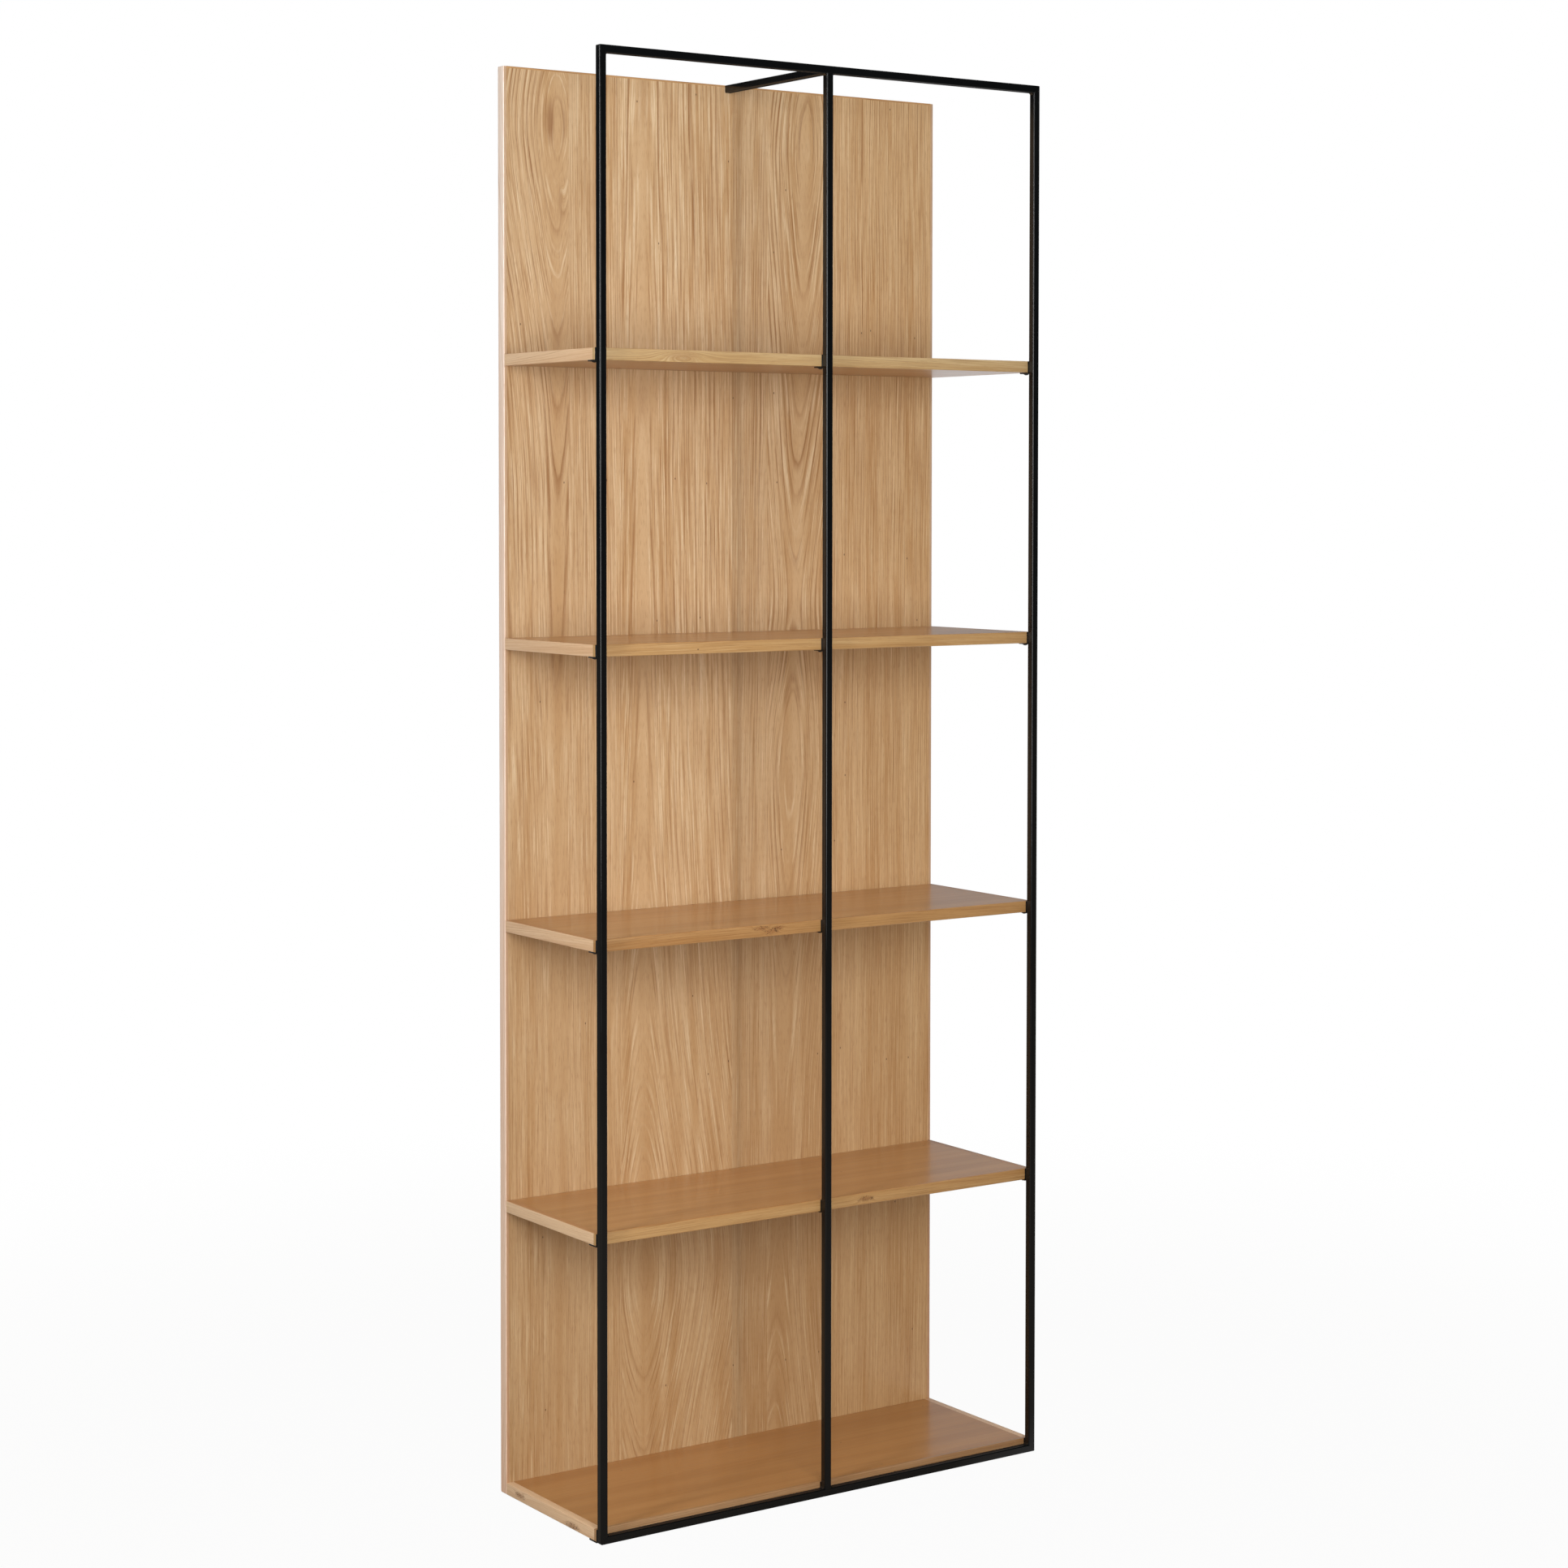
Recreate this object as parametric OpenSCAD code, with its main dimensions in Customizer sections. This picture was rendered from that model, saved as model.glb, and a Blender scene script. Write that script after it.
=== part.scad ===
// Open bookcase. An oak back panel and a slender square-tube steel frame stand one behind the other.
// A base board joins them at the floor, a tie bar joins them at the top, and four loose shelves
// rest between them on steel brackets at the front and on concealed pins at the back.
// X runs to the right, Y to the back and Z up. The origin is on the floor, in the middle.

/* [Overall size] */
// Width over the frame, the shelves and the back panel
width = 820; // [600:10:1200]
// Depth from the frame's front face to the panel's back face
depth = 300; // [240:5:450]
// Height of the frame and of the back panel
height = 2200; // [1820:10:2700]

/* [Front frame] */
// Outer size of the square tube
tube = 12; // [10:0.5:20]
// Wall of the square tube
tube_wall = 1.2; // [1:0.1:1.5]
// Outer corner radius of the tube's section
tube_corner = 2; // [1.6:0.1:2.4]
// Radius ground on the frame's four outer corners
frame_corner = 3; // [1:0.5:3.5]
// Leg of the small weld fillets in the frame's inner corners
weld_leg = 2.5; // [1.5:0.1:4]

/* [Boards] */
// Thickness of the back panel, the base board and the shelves
board = 18; // [15:1:24]
// Solid lipping along the front of each shelf and of the base board
front_lipping = 6; // [3:0.5:6.5]
// Solid lipping at each end of a shelf and of the base board
end_lipping = 12; // [10:0.5:20]
// Solid lipping down each side of the back panel
panel_side_lipping = 5; // [2:0.5:12]
// Solid lipping along the top of the back panel
panel_top_lipping = 3; // [1:0.5:3]
// Rounding under the panel's back edge, so that the bookcase can be tilted up
heel_radius = 5; // [2:0.5:6]

/* [Shelf positions] */
// Height of the lowest loose shelf's top face
lowest_shelf_top = 460; // [300:1:560]
// Distance from one shelf top to the next
shelf_pitch = 434; // [260:1:440]

/* [Shelf supports] */
// Thickness of the folded bracket plate
bracket_plate = 2; // [1.5:0.1:3]
// How far a bracket's tab reaches behind the post
bracket_reach = 22; // [19:0.5:40]
// Distance from the post's back face to the stud in the tab
stud_setback = 13; // [12.5:0.5:14]
// Radius of a stud's peg
stud_radius = 2.5; // [1.5:0.1:2.5]
// Height of the peg above the tab
stud_height = 8; // [4:0.5:10]
// Radius of a stud's button head
stud_head_radius = 4; // [3.5:0.1:5]
// Radius of a concealed pin behind a shelf
pin_radius = 3; // [2:0.1:4]
// Length of a pin in front of the panel
pin_reach = 22; // [12:0.5:30]
// Depth of a pin in the panel
pin_depth = 13; // [8:0.5:14]
// Distance from the middle of the shelf to each pin
pin_spread = 216; // [120:1:260]

/* [Clearances] */
// Gap between a shelf's front or back edge and what stands next to it
shelf_gap = 0.5; // [0.3:0.1:1.5]
// Radial clearance of a peg in a shelf's hole
peg_clearance = 0.5; // [0.3:0.1:1]
// Radial clearance of a concealed pin in a shelf's slot
pin_clearance = 0.3; // [0.3:0.1:1]
// Radial clearance of a fixing in its hole
fixing_clearance = 0.05; // [0.02:0.01:0.2]

/* [Hidden] */
$fn = 48;
SHELVES = 4;

// Colours
STEEL_BLACK = [0.09, 0.09, 0.10];
OAK_VENEER = [0.76, 0.60, 0.41];
OAK_LIPPING = [0.83, 0.66, 0.47];
OAK_TOP = [0.68, 0.47, 0.28];
ZINC = [0.68, 0.68, 0.66];
BEECH = [0.85, 0.72, 0.54];
FELT = [0.25, 0.24, 0.23];

// Overrun of a cutting tool past the face that it cuts
over = 1;

// Planes and lines across the depth
frame_front = -depth / 2;
frame_mid = frame_front + tube / 2;
frame_back = frame_front + tube;
panel_back = depth / 2;
panel_front = panel_back - board;

// Places across the width: one post at each side and one in the middle
side_x = width / 2;
post_x = [-side_x + tube / 2, 0, side_x - tube / 2];

// The base board and the panel stand on a foot as thick as the bracket plate
base_under = bracket_plate;

// Shelf and base board outlines
board_front = frame_back + bracket_plate;
shelf_front = board_front + shelf_gap;
shelf_back = panel_front - shelf_gap;

// A tube that butts on another tube's flat side is coped round its rounded edges by this depth
cope = 0.6 * tube_corner;
// What is left of a weld fillet's thickness at the ends of its legs
weld_toe = 0.2;
// How much sharper a bracket's fold is outside than its plate is thick
fold_flat = 0.01;

// Studs, pins and the holes that they go in
end_gap = 0.5;
stud_y = frame_back + stud_setback;
stud_rim = 0.6;
stud_dome = 1.6;
socket_radius = 1.4;
socket_depth = 1.2;
nose_height = 1;
nose_radius = stud_radius - 0.7;
peg_hole_depth = stud_height + 2 * end_gap;
pin_slot_depth = pin_reach + 2 * end_gap;

// Fixings of the base board: countersunk screws under the tabs, screws and dowels from the panel
tab_screw_radius = 2;
tab_screw_head = 3.6;
tab_screw_length = 14;
head_recess = 0.2;
panel_screw_radius = 2.5;
panel_screw_head = 4;
panel_screw_head_depth = 3.5;
panel_screw_bite = 32;
dowel_radius = 4;
dowel_in_panel = 12;
dowel_in_board = 20;
fixing_rise = 1;
fixing_z = base_under + board / 2 + fixing_rise;
PANEL_SCREWS = 4;
screw_inset = 80;
screw_pitch = (width - 2 * screw_inset) / (PANEL_SCREWS - 1);
screw_x = [for (i = [0 : PANEL_SCREWS - 1]) -side_x + screw_inset + i * screw_pitch];
dowel_x = [for (i = [0 : PANEL_SCREWS - 2]) screw_x[i] + screw_pitch / 2];

// The tie bar ends in a plug, which a screw from behind the panel pulls up to the panel's face
plug_flange = 3;
plug_spigot = 14;
plug_clearance = 0.1;
tie_z = height - tube / 2;
tie_end = panel_front - plug_flange;
tie_screw_radius = 2;
tie_screw_head = 2.7;
tie_screw_head_depth = 2;
tie_screw_bite = 12;
tie_screw_drop = 1;
tie_screw_z = tie_z - tie_screw_drop;

// Glides under the back panel
glide_radius = 5.5;
glide_inset = 60;
glide_x = [-side_x + glide_inset, 0, side_x - glide_inset];
glide_setback = 0.5;
glide_y = panel_front + glide_radius + glide_setback;

// Top and underside of loose shelf n, counted from the top
function shelf_top(n) = lowest_shelf_top + (SHELVES - n) * shelf_pitch;
function shelf_under(n) = shelf_top(n) - board;

// ---- shared shapes ----

// A square with exactly round corners, centred
module rounded_square(side, r) {
    square([side, side - 2 * r], center = true);
    square([side - 2 * r, side], center = true);
    for (x = [-1, 1], y = [-1, 1])
        translate([x * (side / 2 - r), y * (side / 2 - r)]) circle(r);
}

module tube_length(length)
    linear_extrude(height = length)
        difference() {
            rounded_square(tube, tube_corner);
            rounded_square(tube - 2 * tube_wall, tube_corner - tube_wall);
        }

// The whole outside of a rail, used to cope what butts on it
module rail_outside(z_mid)
    translate([-tube, frame_mid, z_mid])
        rotate([0, 90, 0])
            linear_extrude(height = 2 * tube) rounded_square(tube, tube_corner);

// The whole outside of the centre post, used to cope the tie bar that meets its head
module centre_post_outside()
    translate([0, frame_mid, tube])
        linear_extrude(height = height - 2 * tube + cope) rounded_square(tube, tube_corner);

// A prism through the frame's depth with its outline drawn on the front view
module through_frame(points)
    translate([0, frame_back + over, 0])
        rotate([90, 0, 0])
            linear_extrude(height = tube + 2 * over) polygon(points);

// What is ground away to round the frame's outer corners
module corner_waste()
    for (side = [-1, 1], end = [-1, 1])
        translate([side * side_x, 0, end > 0 ? height : 0])
            corner_offcut(side, end);

// The piece outside the rounding at one corner; end is -1 at the bottom and 1 at the top
module corner_offcut(side, end)
    difference() {
        translate([side < 0 ? -over : -frame_corner, frame_front - over, end < 0 ? -over : -frame_corner])
            cube([frame_corner + over, tube + 2 * over, frame_corner + over]);
        translate([-side * frame_corner, frame_back + 2 * over, -end * frame_corner])
            rotate([90, 0, 0]) cylinder(r = frame_corner, h = tube + 4 * over);
    }

// A weld fillet in the corner between two flat faces, drawn in XY and standing up
module weld_fillet()
    linear_extrude(height = tube - 2 * tube_corner)
        difference() {
            square(weld_leg);
            translate([weld_leg + weld_toe, weld_leg + weld_toe]) circle(weld_leg);
        }

// A fillet that runs through the frame's depth at a corner of the front view
module depth_fillet(x, z, turn)
    translate([x, frame_back - tube_corner, z])
        rotate([90, 0, 0]) rotate([0, 0, turn]) weld_fillet();

// A box from its low corner to its high corner
module span(low, high)
    translate(low) cube([high[0] - low[0], high[1] - low[1], high[2] - low[2]]);

// A round bar along Y
module bar_y(x, y0, y1, z, r)
    translate([x, y0, z]) rotate([-90, 0, 0]) cylinder(r = r, h = y1 - y0);

// A countersunk head and shank along Y, with the head's face at y_face and the point towards the front
module screw_y(x, y_face, z, head_r, head_h, shank_r, length)
    translate([x, y_face, z])
        rotate([90, 0, 0]) {
            cylinder(r1 = head_r, r2 = shank_r, h = head_h);
            translate([0, 0, head_h]) cylinder(r = shank_r, h = length - head_h);
        }

// ---- front frame ----

// A post mitred at both ends; side is -1 on the left and 1 on the right
module side_post(side)
    difference() {
        intersection() {
            translate([side * (side_x - tube / 2), frame_mid, -over]) tube_length(height + 2 * over);
            through_frame([
                [side * (side_x + over), -over],
                [side * (side_x - tube - over), tube + over],
                [side * (side_x - tube - over), height - tube - over],
                [side * (side_x + over), height + over]
            ]);
        }
        corner_waste();
    }

// A rail mitred at both ends, from its outer face at z_out to its inner face at z_in
module rail(z_out, z_in) {
    outwards = z_out > z_in ? over : -over;
    difference() {
        intersection() {
            translate([-side_x - over, frame_mid, (z_out + z_in) / 2])
                rotate([0, 90, 0]) tube_length(width + 2 * over);
            through_frame([
                [-side_x - over, z_out + outwards],
                [-side_x + tube + over, z_in - outwards],
                [side_x - tube - over, z_in - outwards],
                [side_x + over, z_out + outwards]
            ]);
        }
        corner_waste();
    }
}

module frame_left_post() color(STEEL_BLACK) side_post(-1);
module frame_right_post() color(STEEL_BLACK) side_post(1);
module frame_top_rail() color(STEEL_BLACK) rail(height, height - tube);
module frame_bottom_rail() color(STEEL_BLACK) rail(0, tube);

module frame_centre_post()
    color(STEEL_BLACK)
        difference() {
            translate([0, frame_mid, tube - cope]) tube_length(height - 2 * (tube - cope));
            rail_outside(tube / 2);
            rail_outside(height - tube / 2);
        }

module frame_weld_fillets()
    color(STEEL_BLACK) {
        for (x = [-side_x + tube, tube / 2]) {
            depth_fillet(x, tube, 0);
            depth_fillet(x, height - tube, -90);
        }
        for (x = [side_x - tube, -tube / 2]) {
            depth_fillet(x, tube, 90);
            depth_fillet(x, height - tube, 180);
        }
        for (side = [-1, 1])
            translate([side * tube / 2, frame_back, height - tube + tube_corner])
                rotate([0, 0, side > 0 ? 0 : 90]) weld_fillet();
    }

module top_tie_bar()
    color(STEEL_BLACK)
        difference() {
            translate([0, frame_back - cope, tie_z])
                rotate([-90, 0, 0]) tube_length(tie_end - frame_back + cope);
            rail_outside(height - tube / 2);
            centre_post_outside();
        }

module tie_bar_end_plug()
    color(STEEL_BLACK)
        difference() {
            union() {
                translate([0, tie_end, tie_z])
                    rotate([-90, 0, 0])
                        linear_extrude(height = plug_flange) rounded_square(tube, tube_corner);
                translate([0, tie_end - plug_spigot, tie_z])
                    rotate([-90, 0, 0])
                        linear_extrude(height = plug_spigot)
                            rounded_square(tube - 2 * (tube_wall + plug_clearance), tube_corner - tube_wall);
            }
            bar_y(0, panel_front - tie_screw_bite - over, panel_front + over, tie_screw_z,
                  tie_screw_radius + fixing_clearance);
        }

module tie_bar_screw()
    color(ZINC)
        screw_y(0, panel_back - head_recess, tie_screw_z, tie_screw_head, tie_screw_head_depth,
                tie_screw_radius, board - head_recess + tie_screw_bite);

// ---- back panel ----

// What is rounded off under the panel's back edge
module heel_waste()
    difference() {
        span([-side_x - over, panel_back - heel_radius, base_under - over],
             [side_x + over, panel_back + over, base_under + heel_radius]);
        translate([-side_x - 2 * over, panel_back - heel_radius, base_under + heel_radius])
            rotate([0, 90, 0]) cylinder(r = heel_radius, h = width + 4 * over);
    }

module panel_holes() {
    for (n = [1 : SHELVES], x = [-pin_spread, pin_spread])
        bar_y(x, panel_front - over, panel_front + pin_depth,
              shelf_under(n) + board / 2, pin_radius + fixing_clearance);
    for (x = dowel_x)
        bar_y(x, panel_front - over, panel_front + dowel_in_panel, fixing_z,
              dowel_radius + fixing_clearance);
    for (x = screw_x)
        countersunk_hole(x, fixing_z, panel_screw_head, panel_screw_head_depth, panel_screw_radius);
    countersunk_hole(0, tie_screw_z, tie_screw_head, tie_screw_head_depth, tie_screw_radius);
}

// A hole right through the panel, with room at the back for a countersunk head
module countersunk_hole(x, z, head_r, head_h, shank_r) {
    bar_y(x, panel_front - over, panel_back - head_recess - head_h / 2, z, shank_r + fixing_clearance);
    translate([x, panel_back - head_recess, z])
        rotate([90, 0, 0])
            cylinder(r1 = head_r + fixing_clearance, r2 = shank_r + fixing_clearance, h = head_h);
    bar_y(x, panel_back - head_recess, panel_back + over, z, head_r + fixing_clearance);
}

module back_panel_core()
    color(OAK_VENEER)
        difference() {
            span([-side_x + panel_side_lipping, panel_front, base_under],
                 [side_x - panel_side_lipping, panel_back, height - panel_top_lipping]);
            panel_holes();
            heel_waste();
        }

// The lipping down one side; side is -1 on the left and 1 on the right
module panel_side(side)
    color(OAK_LIPPING)
        difference() {
            span([side < 0 ? -side_x : side_x - panel_side_lipping, panel_front, base_under],
                 [side < 0 ? -side_x + panel_side_lipping : side_x, panel_back, height]);
            heel_waste();
        }

module back_panel_left_lipping() panel_side(-1);
module back_panel_right_lipping() panel_side(1);

module back_panel_top_lipping()
    color(OAK_LIPPING)
        span([-side_x + panel_side_lipping, panel_front, height - panel_top_lipping],
             [side_x - panel_side_lipping, panel_back, height]);

module rear_floor_glides()
    color(FELT)
        for (x = glide_x)
            translate([x, glide_y, 0]) cylinder(r = glide_radius, h = base_under);

// ---- base board ----

module base_holes() {
    for (x = post_x)
        translate([x, stud_y, base_under - over])
            cylinder(r = tab_screw_radius + fixing_clearance, h = tab_screw_length - bracket_plate + over);
    for (x = screw_x)
        bar_y(x, panel_front - panel_screw_bite, panel_front + over, fixing_z,
              panel_screw_radius + fixing_clearance);
    for (x = dowel_x)
        bar_y(x, panel_front - dowel_in_board, panel_front + over, fixing_z,
              dowel_radius + fixing_clearance);
}

module base_board_core()
    color(OAK_TOP)
        difference() {
            span([-side_x + end_lipping, board_front + front_lipping, base_under],
                 [side_x - end_lipping, panel_front, base_under + board]);
            base_holes();
        }

module base_board_front_lipping()
    color(OAK_LIPPING)
        span([-side_x, board_front, base_under], [side_x, board_front + front_lipping, base_under + board]);

module base_board_end_lippings()
    color(OAK_LIPPING)
        difference() {
            for (x0 = [-side_x, side_x - end_lipping])
                span([x0, board_front + front_lipping, base_under],
                     [x0 + end_lipping, panel_front, base_under + board]);
            base_holes();
        }

module base_board_brackets()
    color(STEEL_BLACK)
        difference() {
            bracket_plates(base_under);
            for (x = post_x)
                translate([x, stud_y, 0]) {
                    translate([0, 0, -over])
                        cylinder(r = tab_screw_head + fixing_clearance, h = over + head_recess);
                    translate([0, 0, head_recess])
                        cylinder(r1 = tab_screw_head + fixing_clearance,
                                 r2 = tab_screw_radius + fixing_clearance, h = bracket_plate - head_recess);
                }
        }

module base_bracket_screws()
    color(ZINC)
        for (x = post_x)
            translate([x, stud_y, head_recess]) {
                cylinder(r1 = tab_screw_head, r2 = tab_screw_radius, h = bracket_plate - head_recess);
                translate([0, 0, bracket_plate - head_recess])
                    cylinder(r = tab_screw_radius, h = tab_screw_length - bracket_plate - end_gap);
            }

module base_panel_screws()
    color(ZINC)
        for (x = screw_x)
            screw_y(x, panel_back - head_recess, fixing_z, panel_screw_head, panel_screw_head_depth,
                    panel_screw_radius, board - head_recess + panel_screw_bite - end_gap);

module base_panel_dowels()
    color(BEECH)
        for (x = dowel_x)
            bar_y(x, panel_front - dowel_in_board + end_gap, panel_front + dowel_in_panel - end_gap,
                  fixing_z, dowel_radius);

// ---- loose shelves ----

// Blind holes for the pegs and open-bottomed slots for the concealed pins
module shelf_holes(n) {
    under = shelf_under(n);
    for (x = post_x)
        translate([x, stud_y, under - over])
            cylinder(r = stud_radius + peg_clearance, h = peg_hole_depth + over);
    slot_radius = pin_radius + pin_clearance;
    for (x = [-pin_spread, pin_spread]) {
        bar_y(x, panel_front - pin_slot_depth, panel_front, under + board / 2, slot_radius);
        span([x - slot_radius, panel_front - pin_slot_depth, under - over],
             [x + slot_radius, panel_front, under + board / 2]);
    }
}

module shelf_core(n)
    color(OAK_TOP)
        difference() {
            span([-side_x + end_lipping, shelf_front + front_lipping, shelf_under(n)],
                 [side_x - end_lipping, shelf_back, shelf_top(n)]);
            shelf_holes(n);
        }

module shelf_front_lipping(n)
    color(OAK_LIPPING)
        span([-side_x, shelf_front, shelf_under(n)], [side_x, shelf_front + front_lipping, shelf_top(n)]);

module shelf_end_lippings(n)
    color(OAK_LIPPING)
        difference() {
            for (x0 = [-side_x, side_x - end_lipping])
                span([x0, shelf_front + front_lipping, shelf_under(n)],
                     [x0 + end_lipping, shelf_back, shelf_top(n)]);
            shelf_holes(n);
        }

// ---- shelf supports ----

// Three folded plates: a tab under the board and an upright leg on the back of the post
module bracket_plates(under)
    for (x = post_x)
        difference() {
            union() {
                span([x - tube / 2, frame_back, under - bracket_plate],
                     [x + tube / 2, frame_back + bracket_reach, under]);
                span([x - tube / 2, frame_back, under - bracket_plate],
                     [x + tube / 2, frame_back + bracket_plate, under + board]);
            }
            fold_waste(x, under - bracket_plate);
        }

// What a fold leaves off the outside of the bend
module fold_waste(x, z)
    difference() {
        span([x - tube / 2 - over, frame_back - over, z - over],
             [x + tube / 2 + over, frame_back + bracket_plate, z + bracket_plate]);
        translate([x - tube / 2 - 2 * over, frame_back + bracket_plate, z + bracket_plate])
            rotate([0, 90, 0]) cylinder(r = bracket_plate - fold_flat, h = tube + 4 * over);
    }

module shelf_brackets(n)
    color(STEEL_BLACK)
        difference() {
            bracket_plates(shelf_under(n));
            for (x = post_x)
                translate([x, stud_y, shelf_under(n) - bracket_plate - over])
                    cylinder(r = stud_radius + fixing_clearance, h = bracket_plate + 2 * over);
        }

// A stud with a button head under the tab and a stepped peg above it
module bracket_stud()
    difference() {
        rotate_extrude() {
            square([stud_radius, bracket_plate + stud_height - nose_height]);
            square([nose_radius, bracket_plate + stud_height]);
            translate([0, -stud_rim]) square([stud_head_radius, stud_rim]);
            stud_dome_half();
        }
        translate([0, 0, -stud_rim - stud_dome - over])
            cylinder(r = socket_radius, h = socket_depth + over, $fn = 6);
    }

// Half of the head's domed section, below the rim
module stud_dome_half() {
    dome_radius = (pow(stud_head_radius, 2) + pow(stud_dome, 2)) / (2 * stud_dome);
    intersection() {
        translate([0, -stud_rim - stud_dome + dome_radius]) circle(dome_radius);
        translate([0, -stud_rim - stud_dome - over]) square([stud_head_radius + over, stud_dome + over]);
    }
}

module shelf_bracket_studs(n)
    color(STEEL_BLACK)
        for (x = post_x)
            translate([x, stud_y, shelf_under(n) - bracket_plate]) bracket_stud();

module shelf_rear_pins(n)
    color(ZINC)
        for (x = [-pin_spread, pin_spread])
            bar_y(x, panel_front - pin_reach, panel_front + pin_depth - end_gap,
                  shelf_under(n) + board / 2, pin_radius);

// ---- one line per node ----

frame_left_post();
frame_centre_post();
frame_right_post();
frame_top_rail();
frame_bottom_rail();
frame_weld_fillets();
top_tie_bar();
tie_bar_end_plug();
tie_bar_screw();
back_panel_core();
back_panel_left_lipping();
back_panel_right_lipping();
back_panel_top_lipping();
rear_floor_glides();
base_board_core();
base_board_front_lipping();
base_board_end_lippings();
base_board_brackets();
base_bracket_screws();
base_panel_screws();
base_panel_dowels();
shelf_core(1);  // shelf_1_core
shelf_front_lipping(1);  // shelf_1_front_lipping
shelf_end_lippings(1);  // shelf_1_end_lippings
shelf_core(2);  // shelf_2_core
shelf_front_lipping(2);  // shelf_2_front_lipping
shelf_end_lippings(2);  // shelf_2_end_lippings
shelf_core(3);  // shelf_3_core
shelf_front_lipping(3);  // shelf_3_front_lipping
shelf_end_lippings(3);  // shelf_3_end_lippings
shelf_core(4);  // shelf_4_core
shelf_front_lipping(4);  // shelf_4_front_lipping
shelf_end_lippings(4);  // shelf_4_end_lippings
shelf_brackets(1);  // shelf_1_brackets
shelf_brackets(2);  // shelf_2_brackets
shelf_brackets(3);  // shelf_3_brackets
shelf_brackets(4);  // shelf_4_brackets
shelf_bracket_studs(1);  // shelf_1_bracket_studs
shelf_bracket_studs(2);  // shelf_2_bracket_studs
shelf_bracket_studs(3);  // shelf_3_bracket_studs
shelf_bracket_studs(4);  // shelf_4_bracket_studs
shelf_rear_pins(1);  // shelf_1_rear_pins
shelf_rear_pins(2);  // shelf_2_rear_pins
shelf_rear_pins(3);  // shelf_3_rear_pins
shelf_rear_pins(4);  // shelf_4_rear_pins
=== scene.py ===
"""Looks of a tall open bookcase: oak boards with solid lippings, a welded black frame and its fixings.

The CAD frame gives every place and size. Board cores and steel tubes keep their CAD meshes and get a finish.
The lippings, brackets, studs, screws, pins, glides and weld beads are modelled here with their rounded edges.
"""

import logging
import math
from collections.abc import Callable
from dataclasses import dataclass
from enum import Enum
from functools import partial

import bmesh
import bpy
from mathutils import Matrix, Vector


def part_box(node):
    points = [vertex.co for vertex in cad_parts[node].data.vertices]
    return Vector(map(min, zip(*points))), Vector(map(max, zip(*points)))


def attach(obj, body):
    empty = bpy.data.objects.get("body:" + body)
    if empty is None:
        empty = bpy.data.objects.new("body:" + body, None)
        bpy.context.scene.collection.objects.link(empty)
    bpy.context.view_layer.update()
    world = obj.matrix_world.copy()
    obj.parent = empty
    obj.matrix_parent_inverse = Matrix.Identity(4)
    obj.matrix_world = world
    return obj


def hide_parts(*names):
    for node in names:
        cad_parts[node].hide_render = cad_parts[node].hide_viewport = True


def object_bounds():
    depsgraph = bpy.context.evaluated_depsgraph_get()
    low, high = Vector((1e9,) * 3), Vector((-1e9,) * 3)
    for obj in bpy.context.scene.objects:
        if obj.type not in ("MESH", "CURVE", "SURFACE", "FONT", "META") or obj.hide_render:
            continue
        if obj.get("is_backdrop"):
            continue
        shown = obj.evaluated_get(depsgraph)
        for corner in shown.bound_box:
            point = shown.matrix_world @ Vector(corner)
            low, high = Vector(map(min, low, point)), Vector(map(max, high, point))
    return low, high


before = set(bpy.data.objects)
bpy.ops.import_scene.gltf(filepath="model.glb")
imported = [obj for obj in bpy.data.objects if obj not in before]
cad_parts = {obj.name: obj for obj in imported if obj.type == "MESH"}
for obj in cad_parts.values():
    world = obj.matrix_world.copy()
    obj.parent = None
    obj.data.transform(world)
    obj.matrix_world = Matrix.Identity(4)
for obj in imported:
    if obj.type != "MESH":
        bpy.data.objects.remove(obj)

Material, Mesh, Piece, Socket = bpy.types.Material, bpy.types.Mesh, bpy.types.Object, bpy.types.NodeSocket
Block = bmesh.types.BMesh
Adder = Callable[..., bpy.types.bpy_prop_collection]
Tone = tuple[float, float, float]
Tones = tuple[tuple[float, Tone], ...]

LOG = logging.getLogger("bookcase")
MM = 0.001
QUARTER = math.pi / 2
SHELVES = 4
HIGHEST_RISE = 250.0
LEAF_SHIFT = 0.37
PLAIN = (1.0, 1.0, 1.0)
CARCASE = "carcase"
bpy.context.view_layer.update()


# ---- nodes and colours ----


def linear(hex_code: str) -> tuple[float, float, float, float]:
    """Turns an sRGB hex colour into a linear one.

    Args:
        hex_code: six hex digits.
    Returns:
        Red, green, blue and alpha, from 0 to 1.
    """
    channels = [int(hex_code[i:i + 2], 16) / 255 for i in (0, 2, 4)]
    red, green, blue = [c / 12.92 if c <= 0.04045 else ((c + 0.055) / 1.055) ** 2.4 for c in channels]
    return red, green, blue, 1.0


def add_node(tree: bpy.types.NodeTree, kind: str, *values, at: dict | None = None,
             **settings) -> bpy.types.bpy_prop_collection:
    """Adds a node, gives it its settings and fills or links its inputs.

    Args:
        tree: the tree that the node goes in.
        kind: the node's type, without the ShaderNode that most types start with.
        *values: a value, or an output socket to link, for each input from the first on.
        at: the same for inputs by their name or number.
        **settings: the node's own properties.
    Returns:
        The new node's outputs.
    """
    whole = kind.startswith(("Geometry", "Function", "NodeGroup"))
    made = tree.nodes.new(kind if whole else "ShaderNode" + kind)
    for name, value in settings.items():
        setattr(made, name, value)
    for key, value in (dict(enumerate(values)) | (at or {})).items():
        if isinstance(value, Socket):
            tree.links.new(value, made.inputs[key])
        else:
            made.inputs[key].default_value = value
    return made.outputs


def wiring(owner: Material | bpy.types.World) -> Adder:
    """Empties the node tree of a material or a world.

    Args:
        owner: the material or the world.
    Returns:
        The function that adds nodes to that tree.
    """
    owner.use_nodes = True
    owner.node_tree.nodes.clear()
    return partial(add_node, owner.node_tree)


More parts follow.
